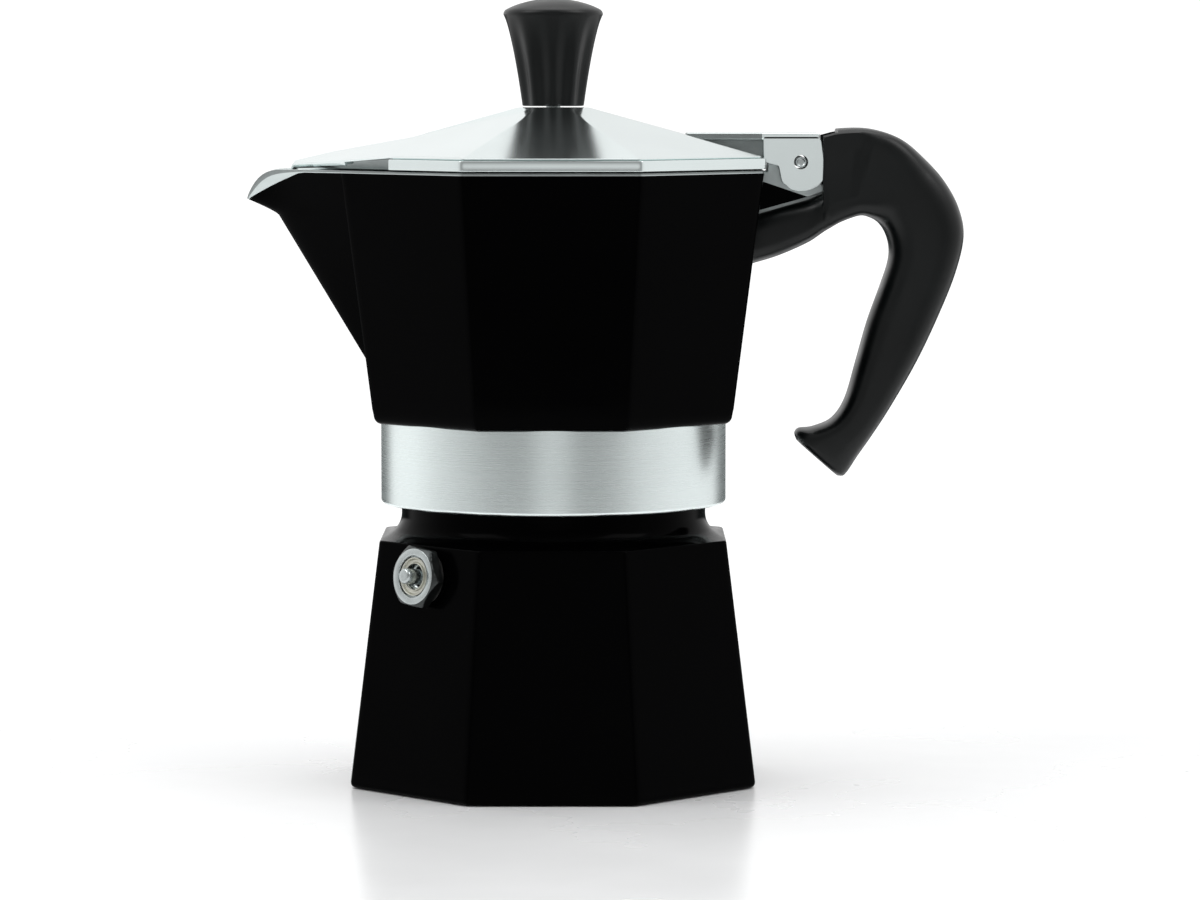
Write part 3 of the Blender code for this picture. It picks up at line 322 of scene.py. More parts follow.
def piece_from(name, bm, angle=SMOOTH_ANGLE):
    """A smooth-shaded object whose edges sharper than the angle stay crisp."""
    bmesh.ops.recalc_face_normals(bm, faces=bm.faces)
    mesh = bpy.data.meshes.new(name)
    bm.to_mesh(mesh)
    bm.free()
    mesh.shade_smooth()
    mesh.set_sharp_from_angle(angle=math.radians(angle))
    obj = bpy.data.objects.new(name, mesh)
    bpy.context.scene.collection.objects.link(obj)
    return obj


def skin(name, rows, loop=False, fans=(False, False), angle=SMOOTH_ANGLE):
    """A skin over closed rows of points; the rows may close on the first one or end in a fan."""
    bm = bmesh.new()
    grid = [[bm.verts.new(point) for point in row] for row in rows]
    pairs = list(zip(grid, grid[1:]))
    if loop:
        pairs.append((grid[-1], grid[0]))
    for lower, upper in pairs:
        for i in range(len(lower)):
            j = (i + 1) % len(lower)
            bm.faces.new((lower[i], lower[j], upper[j], upper[i]))
    for wanted, row in zip(fans, (grid[0], grid[-1])):
        if wanted:
            middle = bm.verts.new(np.mean([v.co for v in row], axis=0))
            for i in range(len(row)):
                bm.faces.new((row[i], row[(i + 1) % len(row)], middle))
    return piece_from(name, bm, angle)


def soften(points, radius, steps=3):
    """Rounds every corner of a closed outline; points on the axis stay as they are."""
    points = [np.array(p, float) for p in points]
    rounded = []
    for before, here, after in zip(points[-1:] + points[:-1], points, points[1:] + points[:1]):
        if here[0] == 0.0:
            rounded.append(here)
            continue
        back = before - here
        on = after - here
        reach = min(radius, 0.45 * np.linalg.norm(back), 0.45 * np.linalg.norm(on))
        start = here + back / np.linalg.norm(back) * reach
        end = here + on / np.linalg.norm(on) * reach
        for i in range(steps + 1):
            t = i / steps
            rounded.append((1 - t) ** 2 * start + 2 * t * (1 - t) * here + t ** 2 * end)
    return rounded


def arc(centre, radius, start, end, steps):
    """Points on an arc in a profile plane, both ends included; angles in degrees."""
    angles = np.radians(np.linspace(start, end, steps + 1))
    return [(centre[0] + radius * math.cos(a), centre[1] + radius * math.sin(a)) for a in angles]


def turned(name, profile, radius=0.0, angle=SMOOTH_ANGLE):
    """A profile of (radius, height) points turned about the axis; it may start and end on the axis."""
    steps = bpy.context.scene.moka_sizes.round_steps
    turn = np.linspace(0.0, 2 * math.pi, steps, endpoint=False)
    points = soften(profile, radius) if radius else profile
    on_axis = points[0][0] == 0.0
    inner = points[1:-1] if on_axis else points
    rows = [ring(turn, r, z) for r, z in inner]
    return skin(name, rows, loop=not on_axis, fans=(on_axis, on_axis), angle=angle)


def plate(name, outline, near, far, edge=0.0, radius=0.0):
    """A flat outline in the XZ plane from y = near to y = far, with softened edges."""
    bm = bmesh.new()
    points = soften(outline, radius) if radius else outline
    face = bm.faces.new([bm.verts.new((x, near, z)) for x, z in points])
    made = bmesh.ops.extrude_face_region(bm, geom=[face])["geom"]
    moved = [v for v in made if isinstance(v, bmesh.types.BMVert)]
    bmesh.ops.translate(bm, verts=moved, vec=(0.0, far - near, 0.0))
    obj = piece_from(name, bm)
    if edge:
        bevel(obj, edge, 60.0)
    return obj


def bevel(obj, width, angle, segments=2):
    modifier = obj.modifiers.new("soft_edges", "BEVEL")
    modifier.width = width
    modifier.segments = segments
    modifier.limit_method = "ANGLE"
    modifier.angle_limit = math.radians(angle)


def weigh_normals(obj):
    modifier = obj.modifiers.new("flat_faces_lead", "WEIGHTED_NORMAL")
    modifier.keep_sharp = True
    modifier.weight = 90


def rod(name, radius, start, end, steps=32):
    """A round bar between two points, used to cut holes."""
    start = Vector(start)
    axis = Vector(end) - start
    side = axis.orthogonal().normalized()
    up = axis.cross(side).normalized()
    angles = [2 * math.pi * i / steps for i in range(steps)]
    circle = [side * math.cos(a) * radius + up * math.sin(a) * radius for a in angles]
    return skin(name, [[start + p for p in circle], [start + axis + p for p in circle]], fans=(True, True))


def cut(obj, cutter):
    """Takes the cutter out of the piece."""
    modifier = obj.modifiers.new(cutter.name, "BOOLEAN")
    modifier.operation = "DIFFERENCE"
    modifier.solver = "EXACT"
    modifier.object = cutter


def settle(obj):
    """Turns the modifiers into mesh and removes the cutters, so that the piece is whole by itself."""
    cutters = [m.object for m in obj.modifiers if m.type == "BOOLEAN"]
    bpy.context.view_layer.update()
    evaluated = obj.evaluated_get(bpy.context.evaluated_depsgraph_get())
    mesh = bpy.data.meshes.new_from_object(evaluated)
    obj.modifiers.clear()
    obj.data = mesh
    if cutters:
        mesh.set_sharp_from_angle(angle=math.radians(CUT_SMOOTH_ANGLE))
        weigh_normals(obj)
    for cutter in cutters:
        bpy.data.objects.remove(cutter, do_unlink=True)
    return obj


def split(obj, point, normal):
    """An edge all round the piece where a plane crosses it, so that a finish can stop there."""
    bm = bmesh.new()
    bm.from_mesh(obj.data)
    bmesh.ops.bisect_plane(bm, geom=[*bm.verts, *bm.edges, *bm.faces], plane_co=point, plane_no=normal)
    bm.to_mesh(obj.data)
    bm.free()


def hand_over(obj, body, finishes, stands_for=()):
    """Gives a piece its finishes and lets it ride on its CAD body in place of the CAD nodes."""
    obj.data.materials.clear()
    for name in finishes:
        obj.data.materials.append(finish(name))
    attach(obj, body)
    if stands_for:
        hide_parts(*stands_for)


def thread_ridge(name, foot_r, crest_r, start_z, turns):
    """A right-handed helical ridge whose height runs out to nothing at both ends."""
    per_turn = 72
    steps = int(per_turn * turns)
    runout = per_turn // 6
    rows = []
    for i in range(steps + 1):
        turn = 2 * math.pi * i / per_turn
        z = start_z + PITCH * i / per_turn
        rise = min(1.0, (i + 0.5) / runout, (steps - i + 0.5) / runout)
        crest = foot_r + (crest_r - foot_r) * rise
        section = [(foot_r, z - RIDGE_FOOT / 2), (crest, z - RIDGE_CREST / 2), (crest, z + RIDGE_CREST / 2),
                   (foot_r, z + RIDGE_FOOT / 2)]
        section = soften(section, 0.15 * MM, 2)
        rows.append([(r * math.cos(turn), r * math.sin(turn), height) for r, height in section])
    return skin(name, rows, fans=(True, True), angle=50.0)


# ------------------------------------------------------------------ boiler and valve

def boiler_rows(fillet):
    """Rings of the boiler: up the facets, over the shoulder to the round neck, and down the inside."""
    angles = corner_angles()
    lean = (BASE_APOTHEM - SHOULDER_APOTHEM) / SHOULDER_Z
    sole = BASE_APOTHEM - BOILER_FOOT_R
    levels = [(0.55 * sole, 0.55 * sole, 0.5 * MM), (0.62 * sole, 0.62 * sole, 0.0)]
    levels += [(x - lean * z, fillet, z) for x, z in arc((sole, BOILER_FOOT_R), BOILER_FOOT_R, -90, 0, 4)]
    top = SHOULDER_Z - 1.2 * MM
    levels += [(BASE_APOTHEM - lean * z, fillet, z) for z in np.linspace(3 * MM, top, 6)]
    edge = (BASE_APOTHEM - lean * top - SHOULDER_EDGE_R, top)
    levels += [(x, fillet, z) for x, z in arc(edge, SHOULDER_EDGE_R, 15, 80, 3)]
    cove = arc((NECK_R + SHOULDER_COVE, top + SHOULDER_COVE + 0.4 * MM), SHOULDER_COVE, 258, 180, 8)
    levels += [(x, min(x, (12 + 8 * i) * MM), z) for i, (x, z) in enumerate(cove)]
    neck_and_inside = [
        (NECK_R, COLLAR_BOTTOM_Z + PAINT_UNDER_COLLAR), (NECK_R, NECK_TOP_Z - 0.5 * MM),
        (NECK_R - 0.5 * MM, NECK_TOP_Z), (NECK_BORE_R + 0.3 * MM, NECK_TOP_Z),
        (NECK_BORE_R, NECK_TOP_Z - 0.3 * MM), (NECK_BORE_R, SHOULDER_Z - 2.5 * MM),
        (SHOULDER_APOTHEM - BOILER_WALL, SHOULDER_Z - 6.5 * MM),
        (BASE_APOTHEM - BOILER_WALL, BOILER_WALL + 3 * MM),
        (BASE_APOTHEM - BOILER_WALL - 3 * MM, BOILER_WALL),
    ]
    levels += [(r, r, z) for r, z in neck_and_inside]
    return [facet_ring(angles, a, f, z) for a, f, z in levels]


def valve_frame():
    """Matrix whose Z stands square to the boiler's facet between the front and the spout side."""
    lean = math.atan2(BASE_APOTHEM - SHOULDER_APOTHEM, SHOULDER_Z)
    flat = math.cos(lean) / math.sqrt(2)
    axis = Vector((-flat, -flat, math.sin(lean)))
    apothem = BASE_APOTHEM - math.tan(lean) * VALVE_Z
    foot = Vector((-apothem / math.sqrt(2), -apothem / math.sqrt(2), VALVE_Z))
    side = axis.cross(Vector((0.0, 0.0, 1.0))).normalized()
    up = side.cross(axis).normalized()
    return Matrix.Translation(foot) @ Matrix((side, up, axis)).transposed().to_4x4()


def on_valve_axis(obj):
    obj.data.transform(valve_frame())
    obj.data.update()
    return obj


class MOKA_OT_boiler(bpy.types.Operator):
    """Builds the painted boiler with its bare neck and thread"""
    bl_idname = "moka.boiler"
    bl_label = "Boiler"

    def execute(self, context):
        sizes = context.scene.moka_sizes
        boiler = skin("boiler_shell", boiler_rows(sizes.corner_round), fans=(True, True))
        foot = valve_frame()
        hole = [foot @ Vector((0, 0, height)) for height in (VALVE_INNER_END, 6 * MM)]
        cut(boiler, rod("valve_hole", VALVE_SHANK_R + GAP, *hole))
        settle(boiler)
        hand_over(boiler, "boiler_body", ("Gloss black paint", "Cast aluminium"), ("boiler",))
        neck_start = COLLAR_BOTTOM_Z + PAINT_UNDER_COLLAR + 0.1 * MM
        for face in boiler.data.polygons:
            middle = face.center
            inside = math.hypot(middle.x, middle.y) < NECK_BORE_R + 1 * MM or middle.z > neck_start
            facing_in = face.normal.dot(Vector((middle.x, middle.y, 0))) < -1e-6
            face.material_index = int(inside or facing_in)
        ridge = thread_ridge("boiler_thread", NECK_R - 0.4 * MM, MALE_CREST_R, THREAD_Z, THREAD_TURNS)
        hand_over(ridge, "boiler_body", ("Turned aluminium",))
        return {"FINISHED"}


class MOKA_OT_valve(bpy.types.Operator):
    """Builds the safety valve: hexagon body, retaining ring and plunger"""
    bl_idname = "moka.valve"
    bl_label = "Safety valve"

    def execute(self, context):
        flats = HEX_FLATS / 2
        hexagon = polygon_radius(corner_angles(6, 12), flats, HEX_EDGE, 6)
        angles = corner_angles(6, 12) + HEX_TURN
        step = HEX_FACE - 1.3 * MM
        levels = [(VALVE_BORE_R, step), (VALVE_FACE_R, step), (VALVE_FACE_R, HEX_FACE - 0.25 * MM),
                  (VALVE_FACE_R + 0.08 * MM, HEX_FACE - 0.08 * MM), (VALVE_FACE_R + 0.3 * MM, HEX_FACE)]
        for drop in (0.0, 0.05, 0.16, 0.3, 0.5, 0.75, 1.0):
            cone = flats - HEX_EDGE + 1.35 * drop ** 0.8 * MM
            levels.append((np.minimum(hexagon, cone), HEX_FACE - drop * MM))
        levels += [(hexagon, HEX_LOW + 0.15 * MM), (hexagon - 0.15 * MM, HEX_LOW), (VALVE_SHANK_R, HEX_LOW),
                   (VALVE_SHANK_R, VALVE_INNER_END), (VALVE_BORE_R, VALVE_INNER_END),
                   (VALVE_BORE_R, step - 1.7 * MM)]
        rows = [ring(angles, r, z) for r, z in levels]
        body = on_valve_axis(skin("valve_hexagon", rows, loop=True, angle=24.0))
        hand_over(body, "boiler_body", ("Plated steel", "Darkened steel"), ("valve_body",))
        # The nearly black steel on the chamfer, flanks and underside is painted shade
        for face in body.data.polygons:
            face.material_index = int(face.index // len(angles) in VALVE_PAINTED_SHADE_ROWS)
        top = HEX_FACE - 0.3 * MM
        profile = [(r * MM, top - drop * MM) for r, drop in RETAINER_PROFILE]
        retainer = on_valve_axis(turned("valve_ring", profile, 0.06 * MM))
        hand_over(retainer, "boiler_body", ("Nickelled brass",), ("valve_retainer",))
        tip = HEX_FACE + VALVE_PIN_OUT
        head = VALVE_INNER_END + 5 * MM
        crown = arc((VALVE_PIN_R - VALVE_PIN_CROWN, tip - VALVE_PIN_CROWN), VALVE_PIN_CROWN, 80, 0, 5)
        profile = [(0.0, tip), (0.5 * MM, tip - 0.05 * MM), *crown, (VALVE_PIN_R, head), (3.1 * MM, head),
                   (3.1 * MM, head - 1.5 * MM), (1.3 * MM, head - 3 * MM), (0.0, head - 3 * MM)]
        plunger = on_valve_axis(turned("valve_pin", profile))
        hand_over(plunger, "valve_pin", ("Plated steel",), ("valve_plunger",))
        return {"FINISHED"}


# ------------------------------------------------------------------ collector

def body_apothem(z):
    rise = (z - BODY_FLARE_Z) / (BODY_TOP_Z - BODY_FLARE_Z)
    return BODY_FLARE_APOTHEM + (BODY_TOP_APOTHEM - BODY_FLARE_APOTHEM) * rise


def spout_tip(z):
    """X of the spout's ridge and the height of its point, at a height of the body."""
    foot = -body_apothem(SPOUT_FOOT_Z)
    if z <= SPOUT_FOOT_Z:
        return -body_apothem(z) if z > BODY_FLARE_Z else 0.0, z
    if z <= LIP_ROOT_Z:
        return foot + (LIP_ROOT_X - foot) * (z - SPOUT_FOOT_Z) / (LIP_ROOT_Z - SPOUT_FOOT_Z), z
    rise = (z - LIP_ROOT_Z) / (BODY_TOP_Z - LIP_ROOT_Z)
    return (LIP_ROOT_X + (LIP_TIP_X - LIP_ROOT_X) * rise ** 1.2,
            LIP_ROOT_Z + (BODY_TOP_Z - LIP_DROP - LIP_ROOT_Z) * rise)


def body_ring(z, apothem, inset, fillet):
    """One ring of the body, its side towards -X drawn out into the nose of the spout.

    The nose is a hyperbola, so its flanks are nearly flat and its ridge is rounded. An inset ring
    lies that far inside the outer skin.
    """
    turn = corner_angles()
    turn = np.sort(np.mod(turn - math.pi, 2 * math.pi))
    turn = turn[(turn >= HALF_FACET - 1e-9) & (turn <= 2 * math.pi - HALF_FACET + 1e-9)] + math.pi
    radius = polygon_radius(turn, apothem - inset, fillet)
    around = np.column_stack([radius * np.cos(turn), radius * np.sin(turn), np.full(len(turn), z)])
    tip_x, tip_z = spout_tip(z)
    reach = max(0.0, -apothem - tip_x)
    grown = max(0.0, (z - SPOUT_FOOT_Z) / (BODY_TOP_Z - SPOUT_FOOT_Z))
    half_side = (apothem - inset) * math.tan(HALF_FACET)
    half_width = max(half_side * grown, NOSE_START_HALF)
    part = np.linspace(-1.0, 1.0, 37)
    if reach < 0.1 * MM:
        x = np.full(len(part), inset - apothem)
        y = half_width * part
    else:
        flank = math.hypot(reach, half_width) / half_width
        inner_reach = max(reach - inset * (min(flank, 2.2) - 1), 0.05 * MM)
        soft = RIDGE_SOFTNESS * min(1.0, reach / (6 * MM))
        depth = inner_reach * np.abs(part) ** 1.5
        full = math.sqrt((inner_reach + soft) ** 2 - soft ** 2)
        x = inset - apothem - inner_reach + depth
        y = np.sign(part) * half_width * np.sqrt((depth + soft) ** 2 - soft ** 2) / full
    fall = (z - tip_z) * np.maximum(0.0, 1 - (x - tip_x) / LIP_RUN) ** LIP_CURVE
    nose = np.column_stack([x, -y, z - fall])
    return np.vstack([around, nose])


def along_paint_edge(upper, sizes):
    """Re-spaces the rings under the rim so that one of them is the edge of the paint.

    The paint stops close under the rim all round, and lower on the pouring lip.
    """
    last = len(upper) - 1
    painted = np.empty((10, *upper.shape[1:]))
    bare = np.empty((5, *upper.shape[1:]))
    for column in range(upper.shape[1]):
        line = upper[:, column]
        away = np.maximum(0.0, 1 - (line[:, 0] - LIP_TIP_X) / PAINT_RUN)
        drop = LIP_DROP * away ** 1.35 + sizes.bare_lip * np.minimum(1, 3 * away)
        edge = BODY_TOP_Z - np.maximum(0.42 * MM, drop)
        place = min(np.interp(0.0, line[:, 2] - edge, np.arange(last + 1)), last - 0.5)
        for rows, start, end in ((painted, 0.0, place), (bare, place, last)):
            for i, at in enumerate(np.linspace(start, end, len(rows))):
                rows[i, column] = [np.interp(at, np.arange(last + 1), line[:, axis]) for axis in range(3)]
    return list(painted[1:]), list(bare[1:])


def body_rows(sizes):
    """Rings of the body: up the outside, over the machined rim and down the inside."""
    fillet = sizes.corner_round
    wall = sizes.body_wall
    rim = sizes.rim_round
    rows = [body_ring(BODY_BOTTOM_Z, 33 * MM, 0.0, fillet)]
    for x, z in arc((35.6 * MM, BODY_BOTTOM_Z + 1.9 * MM), 1.9 * MM, -90, 0, 6):
        rows.append(body_ring(z, x, 0.0, fillet))
    levels = [BODY_FLARE_Z, 83 * MM, *np.linspace(SPOUT_FOOT_Z, LIP_ROOT_Z, 16)]
    rows += [body_ring(z, body_apothem(z), 0.0, fillet) for z in levels]
    upper = [body_ring(z, body_apothem(z), 0.0, fillet)
             for z in np.linspace(LIP_ROOT_Z, BODY_TOP_Z - rim, 24)]
    painted, bare = along_paint_edge(np.array(upper), sizes)
    rows += painted
    paint_rows = len(rows) - 1
    rows += bare
    for inset, drop in ((0.1, 0.3), (0.4, 0.08), (1.0, 0.0)):
        z = BODY_TOP_Z - drop * rim
        rows.append(body_ring(z, body_apothem(z), inset * rim, fillet))
    for inset, drop in ((1.0, 0.0), (0.4, 0.08), (0.1, 0.3), (0.0, 1.0)):
        z = BODY_TOP_Z - drop * rim
        rows.append(body_ring(z, body_apothem(z), wall - inset * rim, fillet))
    for z in (126 * MM, 121 * MM, LIP_ROOT_Z, 112 * MM, 104 * MM, 96 * MM, SPOUT_FOOT_Z, FLOOR_Z):
        rows.append(body_ring(z, body_apothem(max(z, BODY_FLARE_Z)), wall, fillet))
    return rows, paint_rows


class MOKA_OT_collector(bpy.types.Operator):
    """Builds the painted body with its spout, the bare collar, the inner thread and the hinge lug"""
    bl_idname = "moka.collector"
    bl_label = "Collector"

    def execute(self, context):
        sizes = context.scene.moka_sizes
        rows, paint_rows = body_rows(sizes)
        body = skin("body_shell", rows, loop=True, angle=28.0)
        columns = len(rows[0])
        finishes = ("Gloss black paint", "Machined aluminium", "Dulled aluminium")
        hand_over(body, "collector_body", finishes, ("collector",))
        # The dark aluminium on these rows at the rim's outer edge is painted shade
        painted_shade_rows = range(*(paint_rows + i for i in RIM_PAINTED_SHADE_ROWS))
        for face in body.data.polygons:
            row = face.index // columns
            face.material_index = 0 if row < paint_rows else 2 if row in painted_shade_rows else 1
        weigh_normals(body)
        settle(body)
        self.make_collar()
        self.make_lug()
        return {"FINISHED"}

    def make_collar(self):
        """Collar, gasket pocket, chamber floor and riser in one turned piece."""
        edge = 0.5 * MM
        profile = [
            (RISER_BORE_R - 0.6 * MM, RISER_TOP_Z - 1.2 * MM), (RISER_BORE_R, RISER_TOP_Z),
            (RISER_R - 0.8 * MM, RISER_TOP_Z), (RISER_R, RISER_TOP_Z - 2.5 * MM),
            (RISER_R + 1.3 * MM, 92 * MM), (9.5 * MM, 86.6 * MM), (30 * MM, FLOOR_Z), (COLLAR_R, FLOOR_Z),
            (COLLAR_R, COLLAR_BOTTOM_Z + edge), (COLLAR_R - edge, COLLAR_BOTTOM_Z),
            (FEMALE_ROOT_R, COLLAR_BOTTOM_Z), (FEMALE_ROOT_R, 70.6 * MM), (GASKET_POCKET_R, 71.2 * MM),
            (GASKET_POCKET_R, SEAT_Z), (PLATE_POCKET_R, SEAT_Z), (PLATE_POCKET_R, SEAT_Z + 1.1 * MM),
            (25.5 * MM, SEAT_Z + 1.1 * MM), (4.2 * MM, 84.2 * MM), (RISER_BORE_R, 90 * MM),
        ]
        collar = turned("collar", profile, 0.4 * MM)
        vent_z = RISER_TOP_Z - VENT_DROP
        cut(collar, rod("riser_vents", VENT_R, (0, -9 * MM, vent_z), (0, 9 * MM, vent_z), 24))
        settle(collar)
        hand_over(collar, "collector_body", ("Turned aluminium",))
        ridge = thread_ridge("collar_thread", FEMALE_ROOT_R + 0.4 * MM, FEMALE_CREST_R, THREAD_Z - PITCH / 2,
                             THREAD_TURNS + 0.25)
        hand_over(ridge, "collector_body", ("Turned aluminium",))

    def make_lug(self):
        """Cast lug with the hinge eye, and the tang that runs into the handle."""
        root = BODY_TOP_APOTHEM - 1.6 * MM
        outline = [(root, 120.3 * MM), *mm((54.6, 123.7), (57.2, 124.6), (57.2, 125.4), (55.0, 127.4)),
                   *arc((PIN_X, PIN_Z), EYE_R, -40, 172, 20), *mm((45.2, 130.9), (45.0, 128.7)),
                   (root, 128.7 * MM)]
        lug = plate("hinge_lug", outline, -LUG_HALF, LUG_HALF, 0.25 * MM)
        cut(lug, rod("pin_bore", PIN_R + 0.35 * MM, (PIN_X, -9 * MM, PIN_Z), (PIN_X, 9 * MM, PIN_Z)))
        settle(lug)
        split(lug, LUG_PAINT_POINT, LUG_PAINT_UP)
        hand_over(lug, "collector_body", ("Cast aluminium", "Gloss black paint"))
        for face in lug.data.polygons:
            face.material_index = int((face.center - LUG_PAINT_POINT).dot(LUG_PAINT_UP) < 0)
        start = root - 1.4 * MM
        outline = [(start, 113.2 * MM), *mm((48.6, 117.2), (54.9, 117.2), (58.1, 120.2), (66.0, 121.6),
                                            (66.0, 125.1), (50.0, 125.1)), (start, 122.5 * MM)]
        tang = plate("handle_tang", outline, -TANG_HALF, TANG_HALF, 0.2 * MM, 0.4 * MM)
        hand_over(settle(tang), "collector_body", ("Cast aluminium",))


# ------------------------------------------------------------------ lid

def lid_slope(x):
    """Height of the lid's sloping face at a distance along X from the axis."""
    rise = (LID_SLOPE_APOTHEM - abs(x)) / (LID_SLOPE_APOTHEM - LID_HUB_APOTHEM)
    return LID_SLOPE_Z + (LID_HUB_Z - LID_SLOPE_Z) * rise


def visor_side_y(apothem):
    """Where the visor begins on the lid's diagonal sides, on an outline of that apothem."""
    return apothem * (1 + math.tan(HALF_FACET)) + VISOR_SIDE_X


def octagon(apothem, z):
    radius = apothem / math.cos(HALF_FACET)
    angles = [HALF_FACET * (2 * i + 1) for i in range(FACETS)]
    return [(radius * math.cos(a), radius * math.sin(a), z) for a in angles]


def lid_roof(sizes):
    """Hub, slopes and visor as flat faces; the slopes turn under at their foot to leave a groove."""
    bm = bmesh.new()
    hub = [bm.verts.new(p) for p in octagon(LID_HUB_APOTHEM, LID_HUB_Z)]
    slope = [bm.verts.new(p) for p in octagon(LID_SLOPE_APOTHEM, LID_SLOPE_Z)]
    under_z = LID_SLOPE_Z - sizes.lid_groove - 0.25 * MM
    under = [bm.verts.new(p) for p in octagon(LID_SLOPE_APOTHEM - LID_TUCK, under_z)]
    bm.faces.new(hub)
    for i in (5, 6, 7, 0, 1):
        j = (i + 1) % FACETS
        bm.faces.new((hub[i], slope[i], slope[j], hub[j]))
        bm.faces.new((slope[i], under[i], under[j], slope[j]))
    crest = bm.verts.new((VISOR_START_X, 0.0, lid_slope(VISOR_START_X)))
    ridge, nose, tab = [bm.verts.new((x, 0.0, z)) for x, z in (VISOR_RIDGE, VISOR_NOSE, VISOR_TAB)]
    side_y = visor_side_y(LID_SLOPE_APOTHEM)
    for sign, near, far in ((1, 2, 3), (-1, 5, 4)):
        crease = bm.verts.new((VISOR_SIDE_X, sign * side_y, LID_SLOPE_Z))
        tuck = bm.verts.new((VISOR_SIDE_X, sign * (side_y - 1.25 * MM), under_z))
        side = (VISOR_CHEEK, VISOR_BROW, VISOR_LIP, VISOR_CHIN)
        cheek, brow, lip, chin = [bm.verts.new((x, sign * y, z)) for x, y, z in side]
        faces = [
            (hub[near], slope[near], crease, crest), (hub[near], crest, hub[far]),
            (crest, crease, cheek, ridge), (ridge, cheek, brow), (ridge, brow, nose), (nose, brow, lip),
            (nose, lip, chin, tab), (slope[near], under[near], tuck, crease),
        ]
        for face in faces:
            bm.faces.new(face if sign > 0 else tuple(reversed(face)))
    bm.faces.new((hub[3], crest, hub[4]))
    for vert in (slope[3], slope[4], under[3], under[4]):
        if not vert.link_faces:
            bm.verts.remove(vert)
    roof = piece_from("lid_roof", bm, 70.0)
    wall = roof.modifiers.new("sheet", "SOLIDIFY")
    wall.thickness = LID_SHEET
    wall.offset = -1.0
    wall.use_even_offset = True
    bevel(roof, sizes.lid_round, 6.0, 3)
    weigh_normals(roof)
    return roof


def lid_band():
    """Upright band round seven sides of the lid, from one end of the visor to the other."""
    end = math.atan2(visor_side_y(LID_APOTHEM), VISOR_SIDE_X)
    turn = np.concatenate([corner_angles(), corner_angles() - 2 * math.pi])
    turn = np.sort(turn[(turn > -end) & (turn < end)])
    section = [(-LID_BAND_DEPTH, LID_BOTTOM_Z + 0.2 * MM), (-1.4 * MM, LID_BOTTOM_Z),
               (-0.22 * MM, LID_BOTTOM_Z), (-0.06 * MM, LID_BOTTOM_Z + 0.06 * MM),
               (0.0, LID_BOTTOM_Z + 0.22 * MM), (0.0, LID_BAND_TOP_Z - 0.25 * MM),
               (-0.07 * MM, LID_BAND_TOP_Z - 0.07 * MM), (-0.25 * MM, LID_BAND_TOP_Z),
               (-LID_BAND_DEPTH, LID_BAND_TOP_Z)]
    rows = []
    for angle in (-end, *turn, end):
        at = np.array([angle])
        rows.append([ring(at, polygon_radius(at, LID_APOTHEM + inset, LID_CORNER_R), z)[0]
                     for inset, z in section])
    return skin("lid_band", rows, fans=(True, True), angle=40.0)


def visor_flank(name, side):
    """Turned-down edge under one side of the visor, from the band's end to the brow."""
    side_y = visor_side_y(LID_SLOPE_APOTHEM)
    inward = Vector((side_y - VISOR_BROW[1], VISOR_BROW[0] - VISOR_SIDE_X)).normalized()
    rows = []
    for x, y, z in ((VISOR_SIDE_X, side_y, LID_SLOPE_Z), VISOR_CHEEK, VISOR_BROW):
        section = ((0.12, z - 0.3 * MM), (0.9, LID_BOTTOM_Z + 0.08 * MM), (1.6, LID_BOTTOM_Z + 0.15 * MM),
                   (1.1, z - 0.35 * MM))
        rows.append([(x + reach * MM * inward.x, side * (y + reach * MM * inward.y), height)
                     for reach, height in section])
    return skin(name, rows, fans=(True, True), angle=30.0)


